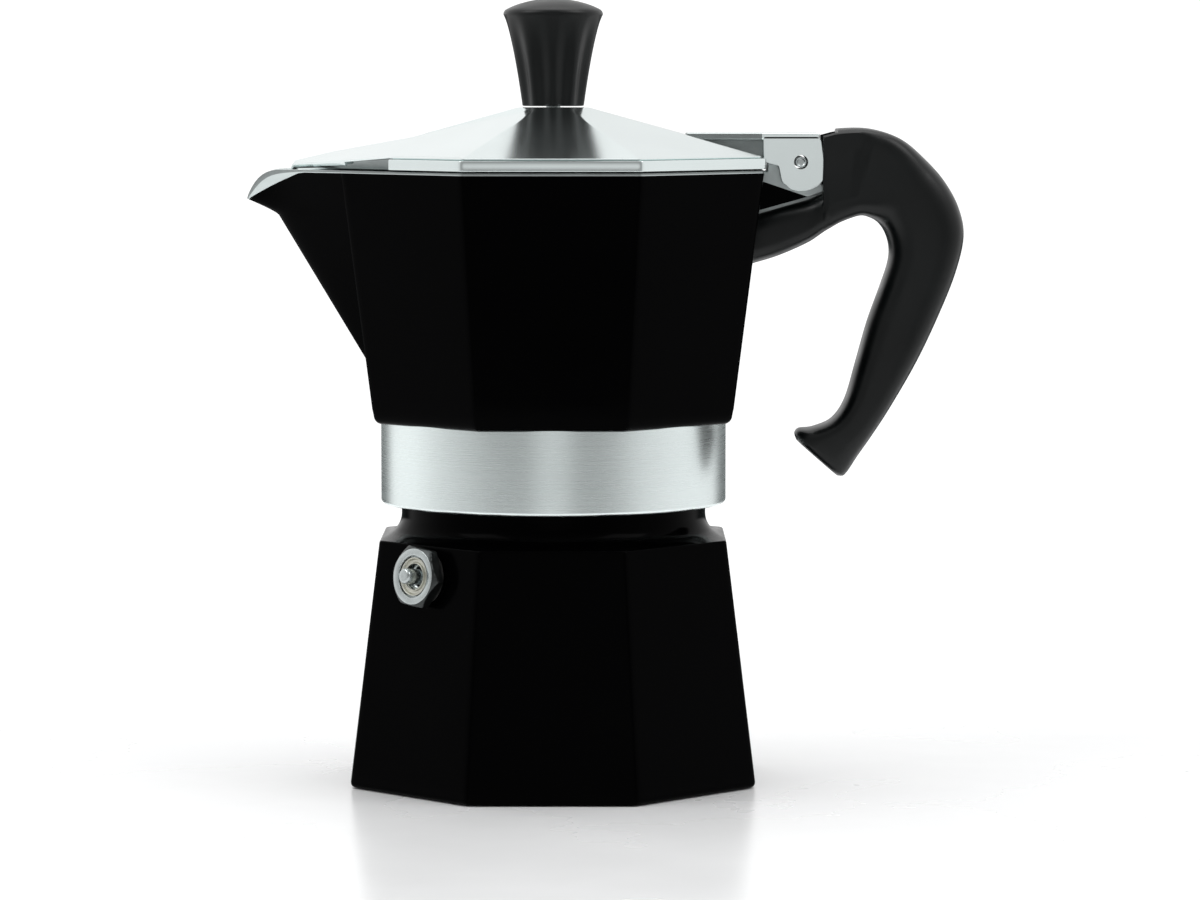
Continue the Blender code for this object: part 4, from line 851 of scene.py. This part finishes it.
class MOKA_OT_lid(bpy.types.Operator):
    """Builds the pressed lid with its visor, band, hinge bracket and ears, and the hinge pin"""
    bl_idname = "moka.lid"
    bl_label = "Lid"

    def execute(self, context):
        roof = lid_roof(context.scene.moka_sizes)
        hole = ((0, 0, LID_HUB_Z - 5 * MM), (0, 0, LID_HUB_Z + 2 * MM))
        cut(roof, rod("screw_hole", LID_SCREW_HOLE_R, *hole))
        settle(roof)
        hand_over(roof, "lid_body", ("Polished aluminium",), ("lid",))
        hand_over(lid_band(), "lid_body", ("Polished aluminium",))
        # The visor's turned-down flanks get the dark aluminium: painted shade and dark reflection under the
        # visor
        for name, side in (("visor_flank_near", -1), ("visor_flank_far", 1)):
            hand_over(visor_flank(name, side), "lid_body", ("Dulled aluminium",))
        self.make_bracket()
        self.make_pin()
        return {"FINISHED"}

    def make_bracket(self):
        under = BRACKET_TOP_Z - BRACKET_PLATE
        outline = [(BRACKET_TIP_X, under), (BRACKET_END_X, under), (BRACKET_END_X, BRACKET_TOP_Z),
                   (BRACKET_TIP_X, BRACKET_TOP_Z)]
        top = plate("bracket_top", outline, -EAR_OUTER, EAR_OUTER, 0.25 * MM)
        settle(top)
        split(top, BRACKET_FOLD, Vector((1.0, 0.0, 0.0)))
        # Sides and underside of the plate nearer the axis than the fold get the dark aluminium: painted shade
        hand_over(top, "lid_body", ("Polished aluminium", "Dulled aluminium"))
        for face in top.data.polygons:
            face.material_index = int(face.center.x < BRACKET_FOLD.x and face.normal.z < 0.5)
        start = BRACKET_TIP_X - 2 * MM
        end = LID_APOTHEM - 0.1 * MM
        outline = [(start, lid_slope(start) - 0.7 * MM), (end - 0.8 * MM, LID_SLOPE_Z - 0.55 * MM),
                   (end, LID_SLOPE_Z - 0.25 * MM), (end, under + 0.5 * MM),
                   (BRACKET_TIP_X + 0.4 * MM, under + 0.5 * MM)]
        # The web under the plate gets the dark aluminium: painted shade
        web = plate("bracket_web", outline, -WEB_HALF, WEB_HALF)
        hand_over(web, "lid_body", ("Dulled aluminium",))
        ear_top = BRACKET_TOP_Z - 0.6 * MM
        outline = [(PIN_X - 8 * MM, ear_top), (PIN_X - 7.9 * MM, PIN_Z), (PIN_X - 4.8 * MM, PIN_Z - 0.7 * MM),
                   (PIN_X - 4.1 * MM, PIN_Z - 4.1 * MM), *arc((PIN_X, PIN_Z), 6.1 * MM, 250, 320, 10),
                   (PIN_X + 4.9 * MM, PIN_Z + 0.3 * MM), (PIN_X + 4.3 * MM, ear_top - MM),
                   (PIN_X + 3.7 * MM, ear_top)]
        for side, near, far in (("near", -EAR_OUTER, -EAR_INNER), ("far", EAR_INNER, EAR_OUTER)):
            ear = plate("ear_" + side, outline, near, far, 0.22 * MM, 0.5 * MM)
            cut(ear, rod("ear_hole", PIN_HOLE_R, (PIN_X, near - MM, PIN_Z), (PIN_X, far + MM, PIN_Z)))
            settle(ear)
            hand_over(ear, "lid_body", ("Polished aluminium",))

    def make_pin(self):
        """Pin with dished ends, drawn about Z and then laid along Y."""
        end = EAR_OUTER - 0.05 * MM
        half = [(PIN_R, end - 0.12 * MM), (0.9 * PIN_R, end), (0.75 * PIN_R, end),
                (0.55 * PIN_R, end - 0.2 * MM), (0.0, end - 0.25 * MM)]
        profile = half[::-1] + [(r, -z) for r, z in half]
        pin = turned("lid_pin", profile)
        pin.data.transform(Matrix.Translation((PIN_X, 0, PIN_Z)) @ Matrix.Rotation(math.pi / 2, 4, "X"))
        hand_over(pin, "collector_body", ("Plated steel",), ("hinge_pin",))


# ------------------------------------------------------------------ knob and handle

def knob_radius(z):
    """Radius of the knob's flank: nearly straight, a little hollow, widest at the rim."""
    rise = (z - KNOB_Z) / (KNOB_TOP_Z - KNOB_DOME - KNOB_Z)
    return KNOB_WAIST_R + (KNOB_RIM_R - KNOB_WAIST_R) * (0.78 * rise + 0.22 * rise ** 3)


class MOKA_OT_knob(bpy.types.Operator):
    """Builds the fluted knob"""
    bl_idname = "moka.knob"
    bl_label = "Knob"

    def execute(self, context):
        depth = context.scene.moka_sizes.flute_depth
        turn = np.linspace(0.0, 2 * math.pi, KNOB_FLUTES * 18, endpoint=False)
        wave = 0.5 + 0.5 * np.cos(KNOB_FLUTES * turn)
        rim_z = KNOB_TOP_Z - KNOB_DOME
        rows = [ring(turn, KNOB_WAIST_R - 0.5 * MM, KNOB_Z)]
        for z in np.linspace(KNOB_Z + 0.1 * MM, rim_z, 44):
            rise = (z - KNOB_Z) / (rim_z - KNOB_Z)
            carve = depth * math.sin(math.pi * min(1.0, 0.18 + rise * 0.82)) ** 0.7 if rise < 0.99 else 0.0
            rows.append(ring(turn, knob_radius(z) - carve * wave, z))
        rows += [ring(turn, r * MM, KNOB_TOP_Z - drop * MM) for r, drop in KNOB_DOME_PROFILE]
        knob = skin("fluted_knob", rows, fans=(True, True), angle=60.0)
        hand_over(knob, "lid_body", ("Phenolic resin",), ("knob",))
        return {"FINISHED"}


# Outer point, inner point and half width of each section of the handle, from the body to the toe, in mm
HANDLE_SECTIONS = (
    (43.1, 119.9, 41.85, 109.2, 6.6),
    (49.0, 121.6, 47.4, 110.9, 6.9),
    (54.0, 123.0, 53.5, 113.6, 7.6),
    (56.5, 124.2, 57.1, 116.0, 8.6),
    (56.6, 136.9, 57.9, 116.6, 9.0),
    (60.5, 137.7, 60.6, 118.1, 9.0),
    (67.0, 137.6, 64.4, 119.4, 9.0),
    (73.3, 135.4, 66.6, 119.0, 8.9),
    (78.6, 131.0, 68.6, 117.8, 8.7),
    (82.6, 126.4, 70.1, 115.6, 8.5),
    (85.5, 121.0, 70.9, 112.6, 8.3),
    (86.6, 115.0, 70.6, 109.2, 8.2),
    (84.9, 107.3, 68.8, 103.8, 8.1),
    (81.4, 98.4, 66.3, 96.8, 8.0),
    (76.8, 88.6, 63.9, 88.2, 7.8),
    (71.2, 78.8, 61.7, 80.6, 7.5),
    (67.2, 72.6, 58.9, 76.4, 7.2),
    (64.3, 68.4, 54.8, 74.6, 7.0),
    (62.4, 65.4, 51.8, 74.2, 6.8),
    (60.9, 63.7, 50.7, 72.6, 6.4),
)
HANDLE_STEP = 4


def through(points, per_span):
    """Points on a smooth curve through the given ones."""
    points = np.array(points, float)
    padded = np.vstack([2 * points[0] - points[1], points, 2 * points[-1] - points[-2]])
    curve = []
    for a, b, c, d in zip(padded, padded[1:], padded[2:], padded[3:]):
        for t in np.arange(per_span) / per_span:
            curve.append(0.5 * (2 * b + (c - a) * t + (2 * a - 5 * b + 4 * c - d) * t ** 2
                                + (3 * b - a - 3 * c + d) * t ** 3))
    curve.append(points[-1])
    return curve


def handle_rows():
    """Rounded-square rings along the handle; the step behind the lid's ears stays a step."""
    spine = through(HANDLE_SECTIONS[:HANDLE_STEP], 6) + through(HANDLE_SECTIONS[HANDLE_STEP:], 6)
    angles = np.linspace(0.0, 2 * math.pi, 56, endpoint=False)
    toe = len(spine) - 1
    rows = []
    for i, (outer_x, outer_z, inner_x, inner_z, half) in enumerate(spine):
        draw_in = HANDLE_TOE[max(0, i - toe + 3)]
        middle = np.array([(outer_x + inner_x) / 2, (outer_z + inner_z) / 2])
        reach = np.array([(outer_x - inner_x) / 2, (outer_z - inner_z) / 2]) * draw_in
        rise = (outer_z - HANDLE_SHOULDER_FROM) / (HANDLE_SHOULDER_TO - HANDLE_SHOULDER_FROM)
        crisp = min(1.0, max(0.0, rise))
        square = HANDLE_SQUARENESS + (HANDLE_SHOULDER_SQUARENESS - HANDLE_SQUARENESS) * crisp
        along = np.sign(np.cos(angles)) * np.abs(np.cos(angles)) ** square
        across = np.sign(np.sin(angles)) * np.abs(np.sin(angles)) ** square
        place = middle + along[:, None] * reach
        rows.append(np.column_stack([place[:, 0], half * draw_in * across, place[:, 1]]) * MM)
    return rows


def sink_scoop(obj, depth):
    """Presses a shallow round hollow into both flanks, where the lid's ears pass."""
    for vert in obj.data.vertices:
        reach = math.hypot(vert.co.x - SCOOP_CENTRE[0], vert.co.z - SCOOP_CENTRE[1])
        inside = min(1.0, max(0.0, (SCOOP_R - reach) / SCOOP_EDGE))
        if inside > 0.0 and vert.co.z > 122 * MM and abs(vert.co.y) > 5 * MM:
            floor = HANDLE_HALF - depth * inside * inside * (3 - 2 * inside)
            vert.co.y = math.copysign(min(abs(vert.co.y), floor), vert.co.y)


class MOKA_OT_handle(bpy.types.Operator):
    """Builds the moulded handle with the pocket that the lid swings into"""
    bl_idname = "moka.handle"
    bl_label = "Handle"

    def execute(self, context):
        handle = skin("moulded_handle", handle_rows(), fans=(True, True), angle=50.0)
        sink_scoop(handle, context.scene.moka_sizes.scoop_depth)
        width = EAR_OUTER + GAP
        pocket = [(PIN_X - 2 * MM, 124.6 * MM), *arc((PIN_X, PIN_Z), SWING_R, -47, 20, 12),
                  (60.1 * MM, 141 * MM), (PIN_X - 2 * MM, 141 * MM)]
        cut(handle, plate("lid_swing_pocket", pocket, -width, width))
        slot = mm((38, 111.2), (48.8, 116.75), (55, 116.75), (58.3, 119.8), (66.4, 121.2), (66.4, 125.5),
                  (58, 125.5), (38, 125.5))
        cut(handle, plate("tang_slot", slot, -TANG_HALF - GAP, TANG_HALF + GAP))
        room = mm((40, 119.4), (54.7, 123.35), (57.5, 124.3), (57.5, 127), (40, 127))
        cut(handle, plate("lug_room", room, -LUG_HALF - GAP, LUG_HALF + GAP))
        below = (HANDLE_SCREW_X, 0, 104 * MM)
        cut(handle, rod("screw_hole", HANDLE_SCREW_HOLE_R, below, (HANDLE_SCREW_X, 0, 119 * MM), 24))
        cut(handle, rod("screw_sink", HANDLE_SCREW_SINK_R, below, (HANDLE_SCREW_X, 0, HANDLE_SCREW_Z + GAP)))
        settle(handle)
        hand_over(handle, "collector_body", ("Phenolic resin",), ("handle",))
        return {"FINISHED"}


class MOKA_OT_inner_parts(bpy.types.Operator):
    """Finishes the parts inside the pot, whose CAD shapes are kept"""
    bl_idname = "moka.inner_parts"
    bl_label = "Inner parts"

    def execute(self, context):
        for node, name in INNER_FINISHES.items():
            materials = frame["nodes"][node].data.materials
            materials.clear()
            materials.append(finish(name))
        return {"FINISHED"}


# ------------------------------------------------------------------ effects shared by the finishes

def add(tree, kind, values=None, **settings):
    """A node with its settings; a value may be a number, a colour or another node's output."""
    node = tree.nodes.new(kind)
    for name, value in settings.items():
        setattr(node, name, value)
    for name, value in (values or {}).items():
        if isinstance(value, bpy.types.NodeSocket):
            tree.links.new(value, node.inputs[name])
        else:
            node.inputs[name].default_value = value
    return node


def effect_group(name, output, **inputs):
    """An empty node group that takes a vector and the inputs named; returns its tree, inputs and a closer."""
    tree = bpy.data.node_groups.new(name, "ShaderNodeTree")
    tree.interface.new_socket("Vector", in_out="INPUT", socket_type="NodeSocketVector")
    for label, value in inputs.items():
        kind = "NodeSocketVector" if isinstance(value, tuple) else "NodeSocketFloat"
        socket = tree.interface.new_socket(label.capitalize(), in_out="INPUT", socket_type=kind)
        socket.default_value = value
    tree.interface.new_socket(output, in_out="OUTPUT", socket_type="NodeSocketFloat")
    entry = tree.nodes.new("NodeGroupInput")
    leave = tree.nodes.new("NodeGroupOutput")
    return tree, entry.outputs, lambda socket: tree.links.new(socket, leave.inputs[output])


def noise(tree, vector, scale, detail):
    values = {"Vector": vector, "Scale": scale, "Detail": detail}
    return add(tree, "ShaderNodeTexNoise", values).outputs["Fac"]


def spread(tree, value, low, high, to_low, to_high):
    values = {"Value": value, "From Min": low, "From Max": high, "To Min": to_low, "To Max": to_high}
    return add(tree, "ShaderNodeMapRange", values).outputs["Result"]


def reckon(tree, operation, *terms, **settings):
    node = add(tree, "ShaderNodeMath", dict(enumerate(terms)), operation=operation, **settings)
    return node.outputs["Value"]


def build_mottle():
    tree, entry, close = effect_group("Mottle", "Value", scale=80.0, low=0.2, high=0.3)
    cloud = noise(tree, entry["Vector"], entry["Scale"], 5.0)
    close(spread(tree, cloud, 0.33, 0.67, entry["Low"], entry["High"]))
    return tree


def build_drawn_lines():
    tree, entry, close = effect_group("Drawn lines", "Lines", stretch=(5, 5, 2600), contrast=1.0)
    values = {0: entry["Vector"], 1: entry["Stretch"]}
    stretched = add(tree, "ShaderNodeVectorMath", values, operation="MULTIPLY")
    streaks = noise(tree, stretched.outputs["Vector"], 1.0, 4.0)
    centred = reckon(tree, "SUBTRACT", streaks, 0.5)
    close(reckon(tree, "MULTIPLY_ADD", centred, entry["Contrast"], 0.5, use_clamp=True))
    return tree


def build_edge_wear():
    tree, entry, close = effect_group("Edge wear", "Mask", start=0.54, scale=300.0, amount=0.3)
    sharpness = tree.nodes.new("ShaderNodeNewGeometry").outputs["Pointiness"]
    end = reckon(tree, "ADD", entry["Start"], 0.06)
    edges = spread(tree, sharpness, entry["Start"], end, 0.0, 1.0)
    patches = spread(tree, noise(tree, entry["Vector"], entry["Scale"], 6.0), 0.48, 0.66, 0.0, 1.0)
    close(reckon(tree, "MULTIPLY", reckon(tree, "MULTIPLY", edges, patches), entry["Amount"]))
    return tree


def build_grain():
    tree, entry, close = effect_group("Grain", "Height", scale=900.0, pits=0.0)
    skin_wave = noise(tree, entry["Vector"], entry["Scale"], 3.0)
    values = {"Vector": entry["Vector"], "Scale": entry["Scale"]}
    cells = add(tree, "ShaderNodeTexVoronoi", values).outputs["Distance"]
    pits = spread(tree, cells, 0.0, 0.25, -1.0, 0.0)
    close(reckon(tree, "MULTIPLY_ADD", pits, entry["Pits"], skin_wave))
    return tree


EFFECTS = {"Mottle": build_mottle, "Drawn lines": build_drawn_lines, "Edge wear": build_edge_wear,
           "Grain": build_grain}


def effect(tree, name, **values):
    """Places a shared effect in a material and returns its output."""
    group = bpy.data.node_groups.get(name) or EFFECTS[name]()
    node = tree.nodes.new("ShaderNodeGroup")
    node.node_tree = group
    for label, value in values.items():
        socket = node.inputs[label.capitalize()]
        if isinstance(value, bpy.types.NodeSocket):
            tree.links.new(value, socket)
        else:
            socket.default_value = value
    return node.outputs[0]


# ------------------------------------------------------------------ finishes

def new_finish(name):
    """A material with its shader and the object's own coordinates."""
    material = bpy.data.materials.new(name)
    material.use_nodes = True
    tree = material.node_tree
    shader = tree.nodes["Principled BSDF"]
    place = tree.nodes.new("ShaderNodeTexCoord").outputs["Object"]
    return material, tree, shader, place


def set_bump(tree, shader, height, strength, distance):
    bump = add(tree, "ShaderNodeBump", {"Height": height, "Strength": strength, "Distance": distance})
    tree.links.new(bump.outputs["Normal"], shader.inputs["Normal"])


def mix_colours(tree, mask, first, second):
    node = add(tree, "ShaderNodeMix", data_type="RGBA")
    for socket, value in ((node.inputs["Factor"], mask), (node.inputs[6], first), (node.inputs[7], second)):
        if isinstance(value, bpy.types.NodeSocket):
            tree.links.new(value, socket)
        else:
            socket.default_value = (*value, 1.0)
    return node.outputs[2]


def tinted(base, factor):
    return tuple(min(1.0, c * factor) for c in base)


def mottled(name, base, tones, cloud, rough, grain=None, metallic=0.0, specular=None, wear=None):
    """A material whose colour and roughness wander, with a fine grain and, where asked for, rubbed edges.

    tones are the darkest and the lightest share of the base colour, and cloud the scale of their patches.
    rough is (scale, low, high), grain is (scale, pits, strength, depth), and wear is (start, scale, amount,
    colour beneath, whether bare metal is beneath).
    """
    material, tree, shader, place = new_finish(name)
    shader.inputs["Metallic"].default_value = metallic
    if specular is not None:
        shader.inputs["Specular IOR Level"].default_value = specular
    patches = effect(tree, "Mottle", vector=place, scale=cloud, low=0.0, high=1.0)
    tone = mix_colours(tree, patches, *[tinted(base, factor) for factor in tones])
    if wear:
        start, scale, amount, beneath, metal = wear
        worn = effect(tree, "Edge wear", vector=place, start=start, scale=scale, amount=amount)
        tone = mix_colours(tree, worn, tone, beneath)
        if metal:
            tree.links.new(worn, shader.inputs["Metallic"])
    tree.links.new(tone, shader.inputs["Base Color"])
    scale, low, high = rough
    roughness = effect(tree, "Mottle", vector=place, scale=scale, low=low, high=high)
    tree.links.new(roughness, shader.inputs["Roughness"])
    if grain:
        scale, pits, strength, depth = grain
        set_bump(tree, shader, effect(tree, "Grain", vector=place, scale=scale, pits=pits), strength, depth)
    return material


def bare_metal(name, base, low, high, stretch, contrast, bump, cloud_scale=40.0, tone=0.06):
    """Aluminium with drawn or turned lines that show in its colour, its gloss and its surface."""
    material, tree, shader, place = new_finish(name)
    lines = effect(tree, "Drawn lines", vector=place, stretch=stretch, contrast=contrast)
    cloud = effect(tree, "Mottle", vector=place, scale=cloud_scale, low=0.0, high=1.0)
    dull = mix_colours(tree, cloud, tinted(base, 1 - tone), tinted(base, 1 + tone))
    tree.links.new(mix_colours(tree, lines, dull, tinted(base, 1.04)), shader.inputs["Base Color"])
    tree.links.new(spread(tree, lines, 0.0, 1.0, low, high), shader.inputs["Roughness"])
    shader.inputs["Metallic"].default_value = 1.0
    set_bump(tree, shader, lines, bump, 0.05 * MM)
    return material


def black_paint(name, colours):
    level = colours.paint_roughness
    return mottled(name, colours.paint, (0.85, 1.25), 26.0, (70.0, 0.8 * level, 1.25 * level),
                   (520.0, 0.0, 0.05, 0.15 * MM), specular=0.015,
                   wear=(0.56, 420.0, colours.wear, tinted(colours.aluminium, 0.55), True))


def phenolic_resin(name, colours):
    level = colours.phenolic_roughness
    return mottled(name, colours.phenolic, (0.8, 1.25), 55.0, (140.0, 0.85 * level, 1.2 * level),
                   (1500.0, 0.15, 0.08, 0.08 * MM), specular=0.3,
                   wear=(0.55, 260.0, colours.wear, tinted(colours.phenolic, 4.0), False))


def polished_aluminium(name, colours):
    level = colours.lid_roughness
    return bare_metal(name, colours.aluminium, 0.85 * level, 1.2 * level, (420.0, 60.0, 60.0), 0.9, 0.06)


def turned_aluminium(name, colours):
    level = colours.collar_roughness
    return bare_metal(name, colours.aluminium, 0.85 * level, 1.2 * level, (5.0, 5.0, 2600.0), 0.8, 0.1)


def machined_aluminium(name, colours):
    level = colours.collar_roughness
    return bare_metal(name, tinted(colours.aluminium, 0.72), 0.9 * level, 1.35 * level,
                      (300.0, 300.0, 300.0), 1.0, 0.1)


def pressed_aluminium(name, colours):
    return bare_metal(name, tinted(colours.aluminium, 0.95), 0.3, 0.42, (250.0, 250.0, 900.0), 1.0, 0.15)


# Aluminium tinted down to a third: painted shade, on the rim's outer edge, the visor's flanks and the hinge
# bracket's web and plate sides
def painted_shade_aluminium(name, colours):
    return bare_metal(name, tinted(colours.aluminium, 0.34), 0.35, 0.5, (200.0, 200.0, 900.0), 1.0, 0.15,
                      cloud_scale=150.0, tone=0.2)


def cast_aluminium(name, colours):
    return mottled(name, tinted(colours.aluminium, 0.72), (0.85, 1.08), 90.0, (200.0, 0.4, 0.55),
                   (1100.0, 0.5, 0.35, 0.12 * MM), metallic=1.0)


def plated(name, base, low, high):
    return mottled(name, base, (0.88, 1.06), 300.0, (500.0, low, high), (1800.0, 0.2, 0.1, 0.05 * MM),
                   metallic=1.0, wear=(0.55, 600.0, 0.4, tinted(base, 1.3), False))


def rubber(name, base):
    return mottled(name, base, (0.86, 1.05), 120.0, (300.0, 0.6, 0.78), (1400.0, 0.3, 0.15, 0.08 * MM))


FINISHES = {
    "Gloss black paint": black_paint,
    "Polished aluminium": polished_aluminium,
    "Turned aluminium": turned_aluminium,
    "Machined aluminium": machined_aluminium,
    "Pressed aluminium": pressed_aluminium,
    "Dulled aluminium": painted_shade_aluminium,
    "Cast aluminium": cast_aluminium,
    "Phenolic resin": phenolic_resin,
    "Plated steel": lambda name, colours: plated(name, colours.steel, 0.2, 0.32),
    "Nickelled brass": lambda name, colours: plated(name, colours.brass, 0.25, 0.38),
    # Steel tinted nearly black: painted shade on the valve's hexagon flanks
    "Darkened steel": lambda name, colours: plated(name, tinted(colours.steel, 0.12), 0.3, 0.42),
    "Sealing rubber": lambda name, colours: rubber(name, colours.rubber),
    "Dark rubber": lambda name, colours: rubber(name, tinted(colours.rubber, 0.02)),
}


def finish(name):
    return bpy.data.materials.get(name) or FINISHES[name](name, bpy.context.scene.moka_colours)


# ------------------------------------------------------------------ stage

def aim(obj, place, target):
    obj.location = place
    obj.rotation_euler = (Vector(target) - Vector(place)).to_track_quat("-Z", "Y").to_euler()


def softbox(name, place, target, size, power):
    light = bpy.data.lights.new(name, "AREA")
    light.shape = "RECTANGLE"
    light.size, light.size_y = size
    light.energy = power
    obj = bpy.data.objects.new(name, light)
    bpy.context.scene.collection.objects.link(obj)
    aim(obj, place, target)
    obj.visible_camera = False


def studio_world(studio):
    """White to the camera; to everything else a room that brightens from the front round to the back."""
    world = bpy.data.worlds.new("Studio")
    world.use_nodes = True
    tree = world.node_tree
    tree.nodes.clear()
    direction = tree.nodes.new("ShaderNodeTexCoord").outputs["Generated"]
    along = add(tree, "ShaderNodeSeparateXYZ", {0: direction}).outputs
    depth = spread(tree, along["Y"], -1.0, 1.0, 0.0, 1.0)
    sides = []
    for stops in (ROOM_LEFT, ROOM_RIGHT):
        ramp = tree.nodes.new("ShaderNodeValToRGB")
        tree.links.new(depth, ramp.inputs["Fac"])
        while len(ramp.color_ramp.elements) < len(stops):
            ramp.color_ramp.elements.new(0.5)
        for element, (position, level) in zip(ramp.color_ramp.elements, stops):
            element.position = (position + 1) / 2
            element.color = (level, level, level, 1.0)
        sides.append(ramp.outputs["Color"])
    side = spread(tree, along["X"], -0.1, 0.1, 0.0, 1.0)
    low = spread(tree, along["Z"], -0.02, -0.06, 0.0, 1.0)
    behind = spread(tree, along["Y"], 0.7, 0.82, 0.0, 1.0)
    flag = reckon(tree, "MULTIPLY", low, behind)
    walls = mix_colours(tree, flag, mix_colours(tree, side, *sides), FLAG_COLOUR)
    room = add(tree, "ShaderNodeBackground", {"Color": walls, "Strength": 1.0})
    values = {"Color": (*studio.backdrop, 1.0), "Strength": BACKDROP_STRENGTH}
    seen = add(tree, "ShaderNodeBackground", values)
    camera_ray = tree.nodes.new("ShaderNodeLightPath").outputs["Is Camera Ray"]
    both = add(tree, "ShaderNodeMixShader", {0: camera_ray, 1: room.outputs[0], 2: seen.outputs[0]})
    out = tree.nodes.new("ShaderNodeOutputWorld")
    tree.links.new(both.outputs[0], out.inputs["Surface"])
    bpy.context.scene.world = world


class MOKA_OT_stage(bpy.types.Operator):
    """Builds the floor, the soft light and the camera"""
    bl_idname = "moka.stage"
    bl_label = "Stage"

    def execute(self, context):
        studio = context.scene.moka_studio
        turn = np.linspace(0.0, 2 * math.pi, 96, endpoint=False)
        rows = [ring(turn, studio.floor_radius * part, -FLOOR_DROP) for part in (0.2, 0.5, 0.8, 1.0)]
        floor = skin("studio_floor", rows, fans=(True, False))
        if floor.data.polygons[0].normal.z < 0:
            floor.data.flip_normals()
        floor.data.materials.append(mottled("Pale floor", studio.floor, (0.985, 1.0), 3.0, (12.0, 0.22, 0.3)))
        middle = (0.0, 0.0, 80 * MM)
        for name, (place, size, power) in SOFTBOXES.items():
            softbox(name, place, middle, size, getattr(studio, power))
        studio_world(studio)
        camera = bpy.data.cameras.new("camera")
        camera.lens = CAMERA_LENS
        camera.sensor_width = 36.0
        camera.clip_start = 0.01
        obj = bpy.data.objects.new("camera", camera)
        context.scene.collection.objects.link(obj)
        aim(obj, CAMERA_PLACE, CAMERA_TARGET)
        context.scene.camera = obj
        context.scene.view_settings.view_transform = "Standard"
        return {"FINISHED"}


class MOKA_PT_panel(bpy.types.Panel):
    """Lists the moka pot's sizes, colours and building steps"""
    bl_idname = "MOKA_PT_panel"
    bl_label = "Moka Pot"
    bl_space_type = "VIEW_3D"
    bl_region_type = "UI"
    bl_category = "Moka Pot"

    def draw(self, context):
        for group in (context.scene.moka_sizes, context.scene.moka_colours, context.scene.moka_studio):
            box = self.layout.box()
            for name in group.__annotations__:
                box.prop(group, name)
        for operator in OPERATORS:
            self.layout.operator(operator.bl_idname)


GROUPS = {"moka_sizes": MokaSizes, "moka_colours": MokaColours, "moka_studio": MokaStudio}
OPERATORS = (MOKA_OT_boiler, MOKA_OT_valve, MOKA_OT_collector, MOKA_OT_lid, MOKA_OT_knob, MOKA_OT_handle,
             MOKA_OT_inner_parts, MOKA_OT_stage)
CLASSES = (*GROUPS.values(), *OPERATORS, MOKA_PT_panel)


def register():
    for cls in CLASSES:
        bpy.utils.register_class(cls)
    for name, cls in GROUPS.items():
        setattr(bpy.types.Scene, name, PointerProperty(type=cls))


def unregister():
    for name in GROUPS:
        delattr(bpy.types.Scene, name)
    for cls in reversed(CLASSES):
        bpy.utils.unregister_class(cls)


def main():
    register()
    for operator in OPERATORS:
        group, name = operator.bl_idname.split(".")
        getattr(getattr(bpy.ops, group), name)()


if __name__ == "__main__":
    main()
